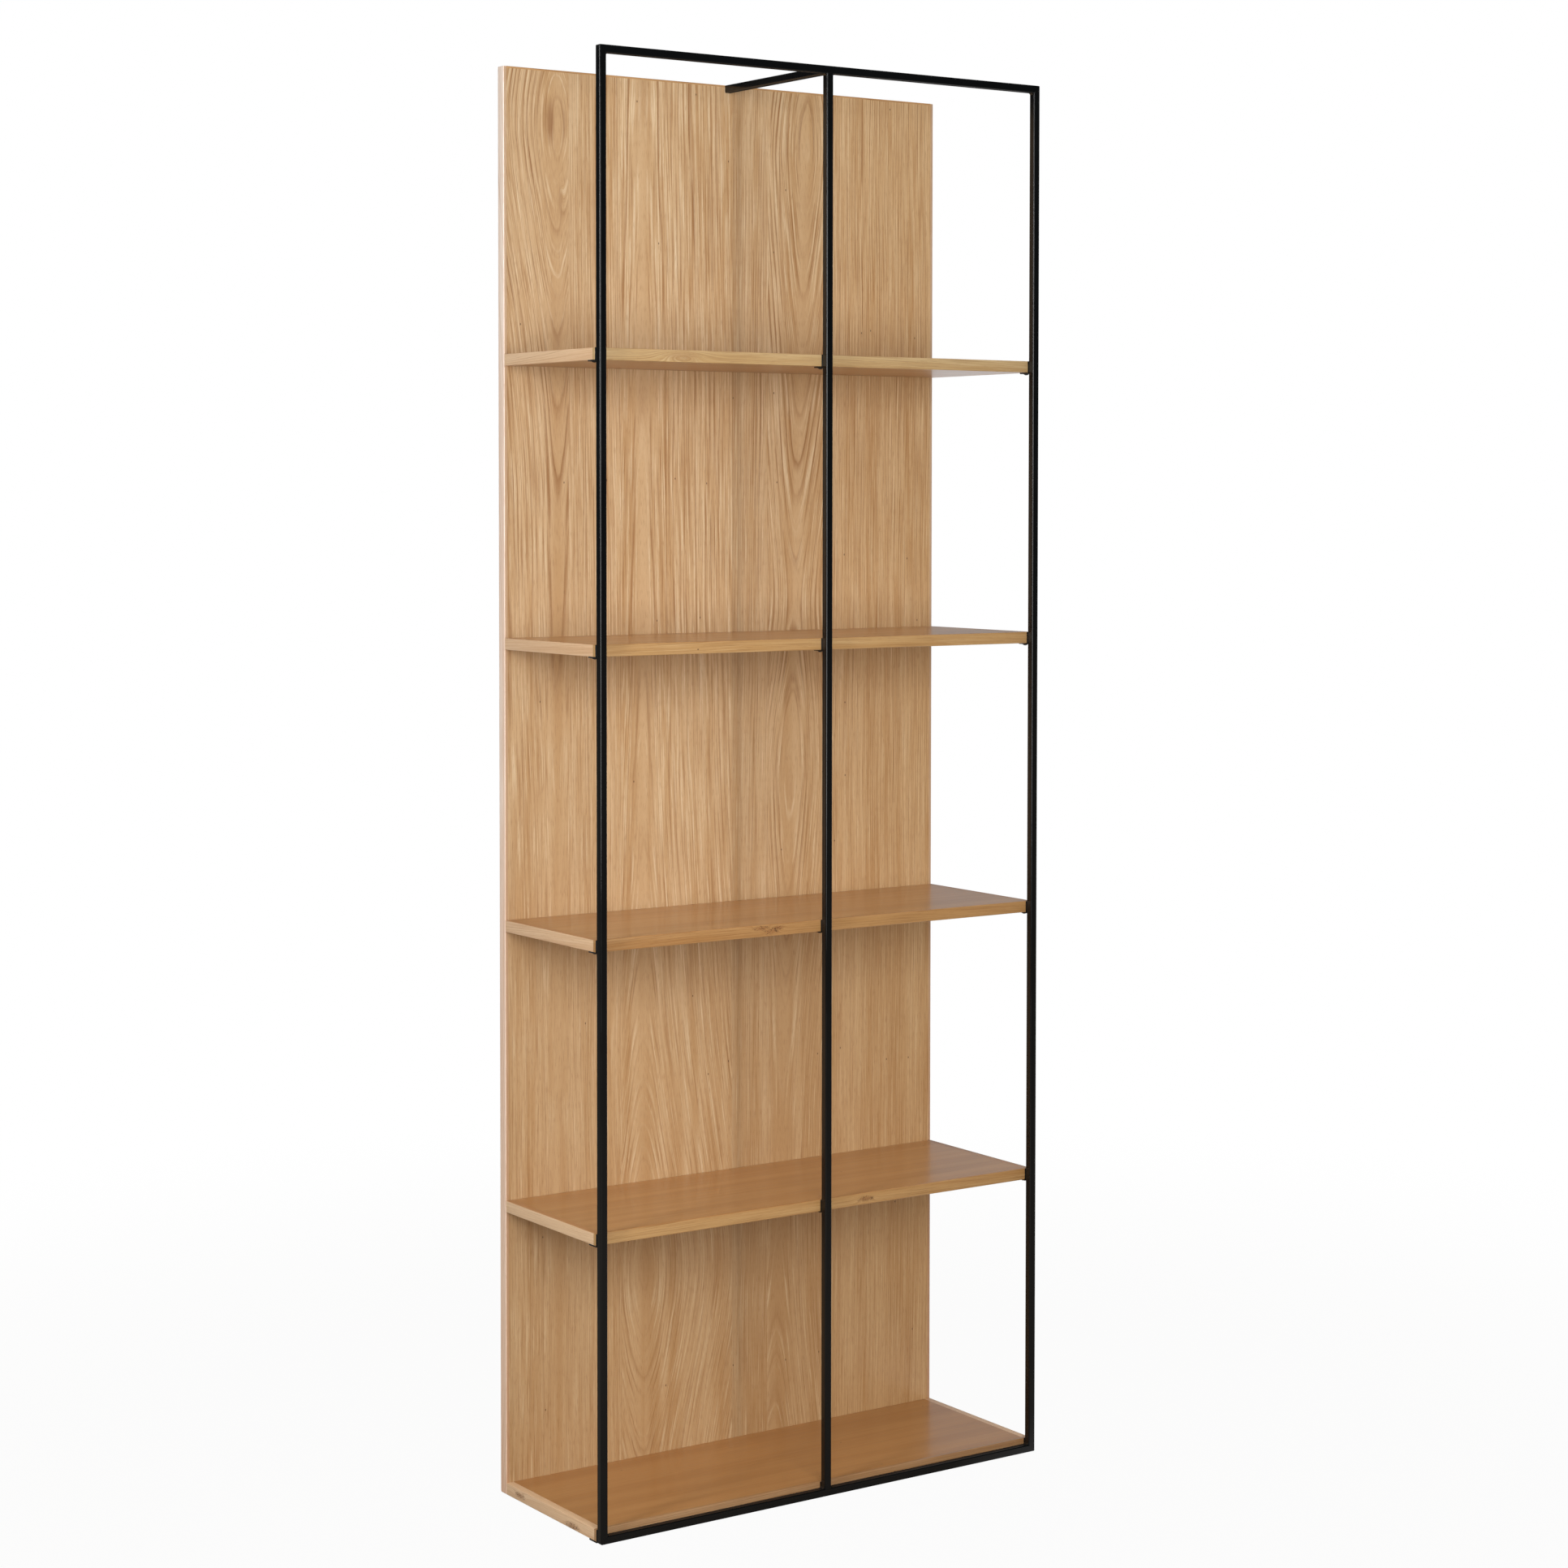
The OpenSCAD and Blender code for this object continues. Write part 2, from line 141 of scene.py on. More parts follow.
def set_stops(ramp: Socket, stops: list[tuple[float, Tone]]) -> Socket:
    """Gives a colour ramp its stops.

    Args:
        ramp: the ramp's colour output.
        stops: each stop's position, from 0 to 1 and in rising order, and its tone.
    Returns:
        The same output.
    """
    elements = ramp.node.color_ramp.elements
    while len(elements) > 1:
        elements.remove(elements[-1])
    for i, (position, tone) in enumerate(stops):
        element = elements[0] if i == 0 else elements.new(position)
        element.position, element.color = position, (*tone, 1.0)
    return ramp


# ---- finishes ----


class Finish:
    """A finish that builds its own node material from the surface that each kind of finish gives."""

    def material(self) -> Material:
        """Builds the node material.

        Returns:
            The material, named for the finish.
        """
        made = bpy.data.materials.new(self.name)
        add = wiring(made)
        add("OutputMaterial", self.surface(add))
        return made

    def clouded(self, add: Adder, size: float, detail: float) -> tuple[Socket, Socket]:
        """Mixes the base and bloom colours by a soft cloud.

        Args:
            add: the function that adds nodes to the tree.
            size: the cloud's width, in millimetres.
            detail: how many finer layers it has.
        Returns:
            The cloud, from 0 to 1, and the mixed colour.
        """
        place = add("TexCoord")["Object"]
        cloud = add("TexNoise", at={"Vector": place, "Scale": 1 / (size * MM), "Detail": detail})[0]
        return cloud, add("Mix", cloud, at={6: linear(self.base), 7: linear(self.bloom)}, data_type="RGBA")[2]


class Grain(Enum):
    """The object axes that run along, across and through a piece's fibres."""

    UPRIGHT = ("Z", "X", "Y")
    UPRIGHT_EDGE = ("Z", "Y", "X")
    LENGTHWISE = ("X", "Y", "Z")
    LENGTHWISE_EDGE = ("X", "Z", "Y")
    CROSSWISE_EDGE = ("Y", "Z", "X")


@dataclass(frozen=True)
class Leaf:
    """One leaf of sliced veneer or one sawn strip, cut past the tree's heart, in millimetres.

    start is where the leaf begins across the piece, and heart the middle of its cathedrals. slope is how fast
    the rings are crossed to either side, and blunt how far from the middle their points stay round. rises gives
    the growth crossed at places along the piece: even means straight grain, and a rise or fall draws nested
    points. lean is how far the heart moves across over a metre.
    """

    start: float
    heart: float
    slope: float
    rises: tuple[tuple[float, float], ...]
    blunt: float = 20.0
    lean: float = 0.0


@dataclass(frozen=True)
class Knot:
    """A knot at a place along and across the piece, in millimetres.

    long and wide are its half lengths, and push how far it moves the rings. tint is how brown it is, and dark
    how strongly its curled lines show, from 0 to 1.
    """

    along: float
    across: float
    long: float
    wide: float
    push: float
    tint: float = 0.5
    dark: float = 0.85


@dataclass(frozen=True)
class OakFinish(Finish):
    """Lacquered oak: growth rings as thin tan lines on honey wood, with cream fibres and short dark pores."""

    name: str
    grain: Grain
    leaves: tuple[Leaf, ...]
    # tones by place across the piece: dark joints, lipping tops coloured like the veneer, and a painted
    # highlight on an arris
    shade: Tones = ((-200, PLAIN), (200, PLAIN))
    cream: str = "E8D0AC"
    pale: str = "CEAA7F"
    honey: str = "C29A6C"
    line: str = "956436"
    pore: str = "75502F"
    ring: float = 3.4
    rings: float = 0.85
    fibres: float = 0.65
    sway: float = 3.0
    waver: float = 0.4
    roughness: float = 0.45
    lacquer: float = 0.15
    knots: tuple[Knot, ...] = ()
    tint: Tone = PLAIN
    # painted shade: the tone that the colour fades to at the piece's foot, so that it darkens towards the
    # bottom
    painted_foot_shade: Tone | None = None
    foot_height: float = 1100.0
    specks: float = 0.3
    calm: tuple[tuple[float, float], tuple[float, float]] = ((0, 1.0), (1, 1.0))
    seed: float = 0.0

    def surface(self, add: Adder) -> Socket:
        """The shader, with colour, roughness and bump from the same growth rings, fibres and pores."""
        return OakGrain(self, add).surface()


class OakGrain:
    """The nodes of one oak finish."""

    def __init__(self, oak: OakFinish, add: Adder) -> None:
        """Sets out the place in the wood: X across, Y along and Z through the fibres, in metres.

        Args:
            oak: the finish.
            add: the function that adds nodes to its tree.
        """
        self.oak, self.add = oak, add
        place = add("SeparateXYZ", add("TexCoord")["Object"])
        along, across, through = oak.grain.value
        self.wood = add("CombineXYZ", place[across], place[along], place[through])[0]
        self.place = add("SeparateXYZ", self.wood)

    def surface(self) -> Socket:
        """Lays the colours over one another.

        Returns:
            The shader.
        """
        oak, add, along = self.oak, self.add, self.place["Y"]
        growth, slant, seeded = self._growth()
        (low, low_level), (high, high_level) = oak.calm
        clear = add("MapRange", along, low * MM, high * MM, low_level, high_level)[0]
        steep = add("Math", self._between(slant, 0.0, 0.9), clear, operation="MULTIPLY")[0]
        dark, light = self._ring_lines(growth, steep, clear)
        broad = self._streaks(seeded, 24.0, 900.0, 2.0, 11.0)
        bands = self._flattened(self._streaks(growth, 2.0, 300.0, 2.0, 29.0), steep)
        lines = self._flattened(self._streaks(growth, 0.6, 110.0, 1.0, 3.0), steep)
        dashes = self._streaks(seeded, 0.9, 16.0, 1.0, 17.0)
        pores = self._between(self._streaks(seeded, 0.6, 9.0, 1.0, 41.0), 0.56, 0.7)
        pores = add("Math", pores, dark, operation="MULTIPLY")[0]

        body = add("Mix", self._between(broad, 0.35, 0.65), at={6: linear(oak.pale), 7: linear(oak.honey)},
                   data_type="RGBA")[2]
        for colour, mask, low, high, amount in (
                (oak.cream, bands, 0.5, 0.74, 0.4 * oak.fibres),
                (oak.line, bands, 0.48, 0.24, 0.35 * oak.fibres),
                (oak.cream, lines, 0.52, 0.7, 0.95 * oak.fibres),
                (oak.line, lines, 0.48, 0.29, 0.85 * oak.fibres),
                (oak.line, dashes, 0.54, 0.72, 0.5 * oak.fibres),
                (oak.cream, light, 0.0, 1.0, 0.2 * oak.rings),
                (oak.line, dark, 0.0, 1.0, oak.rings),
                (oak.pore, pores, 0.0, 1.0, 0.6 * oak.rings)):
            body = self._blend(body, colour, mask, low, high, amount)
        # the tint, fading to a darker painted shade towards the foot, and the tones across the piece multiply
        # the colour
        tone = oak.tint
        if oak.painted_foot_shade is not None:
            share = add("MapRange", along, 0.0, oak.foot_height * MM)[0]
            tone = add("Mix", share, at={4: oak.painted_foot_shade, 5: oak.tint}, data_type="VECTOR")[1]
        for tones_and_shade in (self._shade(), tone):
            body = add("VectorMath", body, tones_and_shade, operation="MULTIPLY")[0]
        body = self._blend(body, "4A2E1B", self._pin_knots(), 0.0, 1.0, 0.8)
        for knot in oak.knots:
            near = self._knot_bump(knot)
            body = self._blend(body, "8A5830", near, 0.3, 1.0, knot.tint)
            body = self._blend(body, "4A2814", self._swirls(near), 0.0, 1.0, knot.dark)

        gloss = add("MapRange", lines, 0.3, 0.7, oak.roughness - 0.04, oak.roughness + 0.06)[0]
        bump = add("Bump", at={"Strength": 0.12, "Distance": 0.1 * MM, "Height": pores}, invert=True)[0]
        return add("BsdfPrincipled", at={
            "Base Color": body, "Roughness": gloss, "IOR": 1.5, "Normal": bump, "Coat Weight": oak.lacquer,
            "Coat Roughness": 0.14, "Coat IOR": 1.48})[0]

    def _leaf_values(self) -> tuple[Socket, ...]:
        """Finds which leaf a place is in, and gives that leaf's values.

        Returns:
            The place's distance from the heart and the growth crossed along the leaf, in metres, the leaf's
            slope and bluntness, and the place shifted by the leaf's own offset, so that no two leaves have the
            same streaks.
        """
        add, oak, place = self.add, self.oak, self.place
        for number, leaf in enumerate(oak.leaves):
            upright = (leaf.heart - leaf.lean) * MM
            heart = add("Math", place["Y"], leaf.lean * MM, upright, operation="MULTIPLY_ADD")[0]
            values = add("CombineXYZ", heart, self._rise(leaf), leaf.slope)[0]
            shift = add("CombineXYZ", LEAF_SHIFT * number, leaf.blunt * MM, LEAF_SHIFT * number)[0]
            if number == 0:
                shape, offset = values, shift
                continue
            past = add("Math", place["X"], leaf.start * MM, operation="GREATER_THAN")[0]
            shape, offset = [add("Mix", past, at={4: before, 5: after}, data_type="VECTOR")[1]
                             for before, after in ((shape, values), (offset, shift))]
        shape, offset = add("SeparateXYZ", shape), add("SeparateXYZ", offset)
        aside = add("Math", place["X"], shape["X"], operation="SUBTRACT")[0]
        shift = add("CombineXYZ", offset["X"], oak.seed, offset["Z"])[0]
        seeded = add("VectorMath", self.wood, shift, operation="ADD")[0]
        return aside, shape["Y"], shape["Z"], offset["Y"], seeded

    def _rise(self, leaf: Leaf) -> Socket:
        """Measures the growth crossed along a leaf up to a place, on a curve through the leaf's values.

        Args:
            leaf: the leaf.
        Returns:
            The growth, in metres.
        """
        first, last = leaf.rises[0][0], leaf.rises[-1][0]
        share = self.add("MapRange", self.place["Y"], first * MM, last * MM)[0]
        curve = self.add("FloatCurve", at={"Value": share})[0]
        points = curve.node.mapping.curves[0].points
        for i, (position, rise) in enumerate(leaf.rises):
            spot = ((position - first) / (last - first), rise / HIGHEST_RISE)
            if i in (0, len(leaf.rises) - 1):
                points[0 if i == 0 else -1].location = spot
            else:
                points.new(*spot)
        curve.node.mapping.update()
        return self.add("Math", curve, HIGHEST_RISE * MM, operation="MULTIPLY")[0]

    def _growth(self) -> tuple[Socket, ...]:
        """Measures the growth between a place and the heart, which wanders a little, and round the knots.

        Returns:
            The growth space, as growth from the heart, place along and leaf offset in metres, the slant of the
            rings to the face from 0, where they lie flat in it, to 1, and the place shifted by the leaf's own
            offset.
        """
        add, oak = self.add, self.oak
        aside, rise, slope, blunt, seeded = self._leaf_values()
        aside = self._wave(aside, seeded, 900.0, 420.0, oak.sway)
        reach = add("VectorMath", add("CombineXYZ", aside, blunt)[0], operation="LENGTH")["Value"]
        slant = add("Math", add("Math", aside, reach, operation="DIVIDE")[0], operation="ABSOLUTE")[0]
        radius = add("Math", reach, slope, rise, operation="MULTIPLY_ADD")[0]
        radius = add("Math", radius, self.place["Z"], operation="ADD")[0]
        radius = self._wave(radius, seeded, 20.0, 260.0, oak.waver)
        radius = self._wave(radius, seeded, 5.0, 90.0, oak.waver / 3)
        for knot in oak.knots:
            radius = add("Math", self._knot_bump(knot), knot.push * MM, radius, operation="MULTIPLY_ADD")[0]
        spot = add("SeparateXYZ", seeded)
        return add("CombineXYZ", radius, spot["Y"], spot["Z"])[0], slant, seeded

    def _flattened(self, lines: Socket, steep: Socket) -> Socket:
        """Fades lines towards their middle value where the rings lie flat in the face."""
        share = self.add("MapRange", steep, 0.0, 1.0, 0.3, 1.0)[0]
        return self.add("Mix", share, at={2: 0.5, 3: lines})[0]

    def _ring_lines(self, growth: Socket, steep: Socket, clear: Socket) -> tuple[Socket, ...]:
        """Draws each growth ring's dark early wood and pale late wood, unevenly spaced and fading in and out.

        Args:
            growth: the growth space.
            steep: 1 where the rings are cut steeply, falling to 0 where they lie flat in the face.
            clear: how clearly they show along the piece, from 0 to 1.
        Returns:
            How dark and how pale a place is, from 0 to 1.
        """
        add, size = self.add, self.oak.ring
        uneven = self._streaks(growth, 2.5 * size, 700.0, 1.0, 7.0)
        ring = add("Math", add("SeparateXYZ", growth)["X"], size * MM, operation="DIVIDE")[0]
        ring = add("Math", uneven, 2.4, ring, operation="MULTIPLY_ADD")[0]
        phase, number = [add("Math", ring, operation=part)[0] for part in ("FRACT", "FLOOR")]
        luck = add("TexWhiteNoise", at={"W": number}, noise_dimensions="1D")["Value"]
        early, late = [
            set_stops(add("ValToRGB", phase)[0], [(spot, (value,) * 3) for spot, value in stops])
            for stops in (
                ((0.0, 0.4), (0.08, 1.0), (0.2, 0.7), (0.42, 0.2), (0.65, 0.0), (0.88, 0.0), (1.0, 0.4)),
                ((0.3, 0.0), (0.65, 1.0), (0.85, 0.8), (1.0, 0.0)))]
        level = self._between(self._streaks(growth, 9.0, 170.0, 1.0, 53.0), 0.3, 0.62)
        for share in (add("MapRange", steep, 0.0, 1.0, 0.75, 1.0)[0], clear,
                      add("MapRange", luck, 0.0, 1.0, 0.25, 1.0)[0]):
            level = add("Math", level, share, operation="MULTIPLY")[0]
        pale = add("Math", level, steep, operation="MULTIPLY")[0]
        return tuple(add("Math", ramp, share, operation="MULTIPLY")[0]
                     for ramp, share in ((early, level), (late, pale)))

    def _wave(self, value: Socket, seeded: Socket, wide: float, long: float, size: float) -> Socket:
        """Adds slow noise to a length.

        Args:
            value: the length, in metres.
            seeded: the place, shifted by the leaf's own offset.
            wide, long: the noise's size across and along the fibres, in millimetres.
            size: about how far it moves the length either way, in millimetres.
        Returns:
            The length with the noise.
        """
        noise = self._streaks(seeded, wide, long, 1.0, long)
        wave = self.add("MapRange", noise, 0.2, 0.8, -size * MM, size * MM, clamp=False)[0]
        return self.add("Math", value, wave, operation="ADD")[0]

    def _streaks(self, place: Socket, wide: float, long: float, detail: float, seed: float) -> Socket:
        """Draws noise out along the fibres.

        Args:
            place: the place in the wood or in the growth space.
            wide, long: a streak's size, in millimetres.
            detail: how many finer layers it has.
            seed: keeps it unlike the others.
        Returns:
            The noise, around 0.5.
        """
        scale = (1 / (wide * MM), 1 / (long * MM), 1 / (wide * MM))
        stretched = self.add("VectorMath", place, scale, (seed, seed, seed), operation="MULTIPLY_ADD")[0]
        return self.add("TexNoise", at={"Vector": stretched, "Scale": 1.0, "Detail": detail})[0]

    def _between(self, value: Socket, low: float, high: float) -> Socket:
        """A smooth step from 0 at low to 1 at high; low may be the larger."""
        return self.add("MapRange", value, low, high, interpolation_type="SMOOTHSTEP")[0]

    def _blend(self, under: Socket, colour: str, mask: Socket, low: float, high: float,
               amount: float) -> Socket:
        """Lays a colour over another where the mask passes from low to high."""
        share = self.add("Math", self._between(mask, low, high), amount, operation="MULTIPLY")[0]
        return self.add("Mix", share, at={6: under, 7: linear(colour)}, data_type="RGBA")[2]

    def _shade(self) -> Socket:
        """Tones parts of the piece by their place across it.

        Returns:
            The tone that the colour is multiplied by.
        """
        low, high = self.oak.shade[0][0], self.oak.shade[-1][0]
        share = self.add("MapRange", self.place["X"], low * MM, high * MM)[0]
        return set_stops(self.add("ValToRGB", share)[0],
                         [((place - low) / (high - low), tone) for place, tone in self.oak.shade])

    def _cells(self, wide: float, long: float, start: Tone = (0.0, 0.0, 0.0)) -> Socket:
        """The place on the face from a start, counted in cells so many millimetres wide and long."""
        away = self.add("VectorMath", self.wood, start, operation="SUBTRACT")[0]
        return self.add("VectorMath", away, (1 / (wide * MM), 1 / (long * MM), 0.0), operation="MULTIPLY")[0]

    def _pin_knots(self) -> Socket:
        """Scatters dark specks about 2 mm long, where a twig's stub shows.

        Returns:
            1 in a speck and 0 elsewhere.
        """
        cells = self._cells(70, 120)
        spots = self.add("TexVoronoi", at={"Vector": cells, "Scale": 1.0}, voronoi_dimensions="2D")
        near = self.add("MapRange", spots["Distance"], 0.02, 0.006)[0]
        chosen = self.add("Math", spots["Color"], self.oak.specks, operation="LESS_THAN")[0]
        return self.add("Math", near, chosen, operation="MULTIPLY")[0]

    def _swirls(self, near: Socket) -> Socket:
        """Draws thin dark lines that curl round in a knot and die out at its rim.

        Args:
            near: 1 in the knot's middle, falling to 0 round it.
        Returns:
            1 on a line and 0 elsewhere.
        """
        place = self._cells(5, 9)
        curls = self.add("TexNoise", at={"Vector": place, "Scale": 1.0, "Detail": 1.0, "Distortion": 1.4})[0]
        level = self.add("Math", curls, 0.5, operation="SUBTRACT")[0]
        edge = self.add("Math", level, operation="ABSOLUTE")[0]
        return self.add("Math", self._between(edge, 0.05, 0.01), self._between(near, 0.15, 0.6),
                        operation="MULTIPLY")[0]

    def _knot_bump(self, knot: Knot) -> Socket:
        """Finds how near a place is to a knot.

        Args:
            knot: the knot.
        Returns:
            1 in the knot's middle, falling smoothly to 0 round it.
        """
        flat = self._cells(knot.wide, knot.long, (knot.across * MM, knot.along * MM, 0.0))
        square = self.add("VectorMath", flat, flat, operation="DOT_PRODUCT")["Value"]
        fall = self.add("Math", square, -1.0, operation="MULTIPLY")[0]
        return self.add("Math", fall, operation="EXPONENT")[0]


@dataclass(frozen=True)
class CoatedSteel(Finish):
    """Steel under a fine satin black powder coat: nearly black faces, a bright line along each rounded edge."""

    name: str = "powder_coated_steel"
    base: str = "060708"
    bloom: str = "0A0C0D"
    roughness: float = 0.16
    specular: float = 0.38
    pebble: float = 0.9

    def surface(self, add: Adder) -> Socket:
        """Builds the shader, with the coat's faint orange peel, drawn about twice as coarse as the real one.

        Args:
            add: the function that adds nodes to the tree.
        Returns:
            The shader.
        """
        place = add("TexCoord")["Object"]
        peel = add("TexNoise", at={"Vector": place, "Scale": 1 / (self.pebble * MM), "Detail": 1.0})[0]
        cloud, colour = self.clouded(add, 60, 3.0)
        gloss = add("MapRange", cloud, 0.3, 0.7, self.roughness - 0.04, self.roughness + 0.06)[0]
        # the fine texture breaks up the gloss at a flat angle, so undersides don't mirror the wood behind them
        gloss = add("MapRange", add("LayerWeight")["Facing"], 0.6, 0.8, gloss, 1.0)[0]
        bump = add("Bump", at={"Strength": 0.03, "Distance": 0.05 * MM, "Height": peel})[0]
        return add("BsdfPrincipled", at={"Base Color": colour, "Roughness": gloss, "IOR": 1.5, "Normal": bump,
                                         "Specular IOR Level": self.specular})[0]


@dataclass(frozen=True)
class PlatedSteel(Finish):
    """Zinc-plated or oxide-blackened steel of small turned fixings: cloudy, with a soft, uneven gloss."""

    name: str
    base: str
    bloom: str
    roughness: float
    metallic: float = 1.0

    def surface(self, add: Adder) -> Socket:
        """Builds the shader, with the plating's cloudy colour and gloss.

        Args:
            add: the function that adds nodes to the tree.
        Returns:
            The shader.
        """
        cloud, colour = self.clouded(add, 3, 4.0)
        gloss = add("MapRange", cloud, 0.3, 0.7, self.roughness - 0.06, self.roughness + 0.1)[0]
        return add("BsdfPrincipled", at={"Base Color": colour, "Roughness": gloss,
                                         "Metallic": self.metallic})[0]


@dataclass(frozen=True)
class MouldedNylon(Finish):
    """Moulded dark nylon: an even matt skin with a faint spark-eroded grain."""

    name: str = "moulded_nylon"
    base: str = "2B2A28"
    bloom: str = "383633"

    def surface(self, add: Adder) -> Socket:
        """Builds the shader, with the grain that the mould leaves.

        Args:
            add: the function that adds nodes to the tree.
        Returns:
            The shader.
        """
        skin, colour = self.clouded(add, 0.4, 2.0)
        bump = add("Bump", at={"Strength": 0.2, "Distance": 0.04 * MM, "Height": skin})[0]
        return add("BsdfPrincipled", at={"Base Color": colour, "Roughness": 0.6, "IOR": 1.53,
                                         "Normal": bump})[0]


# ---- shapes ----


def placed(name: str, data: bpy.types.ID) -> Piece:
    """Links an object into the scene, at the origin.

    Args:
        name: the object's name.
        data: its mesh, lamp or camera.
    Returns:
        The object.
    """
    made = bpy.data.objects.new(name, data)
    bpy.context.scene.collection.objects.link(made)
    return made


def new_piece(name: str, mesh: Mesh, finish: Material) -> Piece:
    """Links a mesh into the scene as a piece at the origin.

    Args:
        name: the piece's name.
        mesh: its mesh.
        finish: its only material.
    Returns:
        The piece.
    """
    mesh.materials.clear()
    mesh.materials.append(finish)
    return placed(name, mesh)


def smooth(mesh: Mesh, angle: float = 35.0) -> Mesh:
    """Shades a mesh smooth, apart from its sharp edges.

    Args:
        mesh: the mesh, which is changed.
        angle: the bend in degrees from which an edge is sharp.
    Returns:
        The same mesh.
    """
    mesh.shade_smooth()
    mesh.set_sharp_from_angle(angle=math.radians(angle))
    return mesh


def baked(carrier: Piece, helpers: list[Piece], name: str) -> Mesh:
    """Turns an object with modifiers into a plain mesh, and removes the object.

    Args:
        carrier: the object with the modifiers.
        helpers: objects that they use, which are removed too.
        name: the mesh's name.
    Returns:
        The mesh, smooth-shaded.
    """
    graph = bpy.context.evaluated_depsgraph_get()
    mesh = bpy.data.meshes.new_from_object(carrier.evaluated_get(graph), depsgraph=graph)
    for used in (carrier, *helpers):
        bpy.data.objects.remove(used)
    mesh.name = name
    return smooth(mesh)


def rounded_block(low: Vector, high: Vector, radius: float) -> Block:
    """Makes a box with every edge rounded.

    Args:
        low, high: its two opposite corners.
        radius: the edges' rounding.
    Returns:
        The closed box.
    """
    block = bmesh.new()
    size = Matrix.Diagonal((*(high - low), 1.0))
    bmesh.ops.create_cube(block, size=1.0, matrix=Matrix.Translation((low + high) / 2) @ size)
    bmesh.ops.bevel(block, geom=list(block.edges), offset=radius, segments=4, profile=0.5, affect="EDGES")
    return block


def keep_side(block: Block, point: Vector, outward: Vector) -> None:
    """Cuts a closed block at a plane and keeps the part behind it, with the cut closed.

    Args:
        block: the block, which is changed.
        point: a point in the plane.
        outward: the direction of the part that goes.
    """
    geometry = [*block.verts, *block.edges, *block.faces]
    cut = bmesh.ops.bisect_plane(block, geom=geometry, plane_co=point, plane_no=outward, clear_outer=True)
    bmesh.ops.contextual_create(block, geom=[e for e in cut["geom_cut"] if isinstance(e, bmesh.types.BMEdge)])


def finished(block: Block, name: str) -> Mesh:
    """Turns a block into a mesh with its faces outwards, and frees the block.

    Args:
        block: the block.
        name: the mesh's name.
    Returns:
        The mesh, smooth-shaded.
    """
    bmesh.ops.recalc_face_normals(block, faces=list(block.faces))
    mesh = bpy.data.meshes.new(name)
    block.to_mesh(mesh)
    block.free()
    return smooth(mesh)


def turned(profile: list[tuple[float, float]], name: str, steps: int = 40) -> Mesh:
    """Turns an outline about the Z axis, as on a lathe.

    Args:
        profile: radius and height of each point from the bottom's middle to the top's middle, in metres.
        name: the mesh's name.
        steps: how many flats go round.
    Returns:
        A closed mesh.
    """
    block = bmesh.new()
    line = [block.verts.new((radius, 0.0, height)) for radius, height in profile]
    edges = [block.edges.new(pair) for pair in zip(line, line[1:])]
    bmesh.ops.spin(block, geom=line + edges, cent=(0, 0, 0), axis=(0, 0, 1), angle=2 * math.pi, steps=steps)
    bmesh.ops.remove_doubles(block, verts=list(block.verts), dist=0.001 * MM)
    return finished(block, name)


def carved(solid: Mesh, tools: list[Mesh], name: str) -> Mesh:
    """Cuts tools out of a solid.

    Args:
        solid: the closed solid.
        tools: the closed shapes that are cut away.
        name: the mesh's name.
    Returns:
        The carved mesh, closed and smooth-shaded.
    """
    carrier = placed(name, solid)
    cutters = [placed(name + "_tool", tool) for tool in tools]
    for cutter in cutters:
        cut = carrier.modifiers.new("cut", "BOOLEAN")
        cut.operation, cut.solver, cut.object = "DIFFERENCE", "EXACT", cutter
    return baked(carrier, cutters, name)


def prism(sides: int, radius: float, low: float, high: float, name: str) -> Mesh:
    """Makes an upright prism with equal sides, closed at both ends.

    Args:
        sides: how many sides it has.
        radius: from its middle to its corners.
        low, high: the heights of its ends.
        name: the mesh's name.
    Returns:
        The mesh.
    """
    block = bmesh.new()
    middle = Matrix.Translation((0, 0, (low + high) / 2))
    bmesh.ops.create_cone(block, cap_ends=True, segments=sides, radius1=radius, radius2=radius,
                          depth=high - low, matrix=middle)
    return finished(block, name)


def quarter_arc(radius: float) -> list[tuple[float, float]]:
    """How far a quarter round of a radius has come along and risen, at each of its six points."""
    return [(radius * math.sin(a), radius - radius * math.cos(a)) for a in (QUARTER * i / 5 for i in range(6))]


# ---- what repeats ----


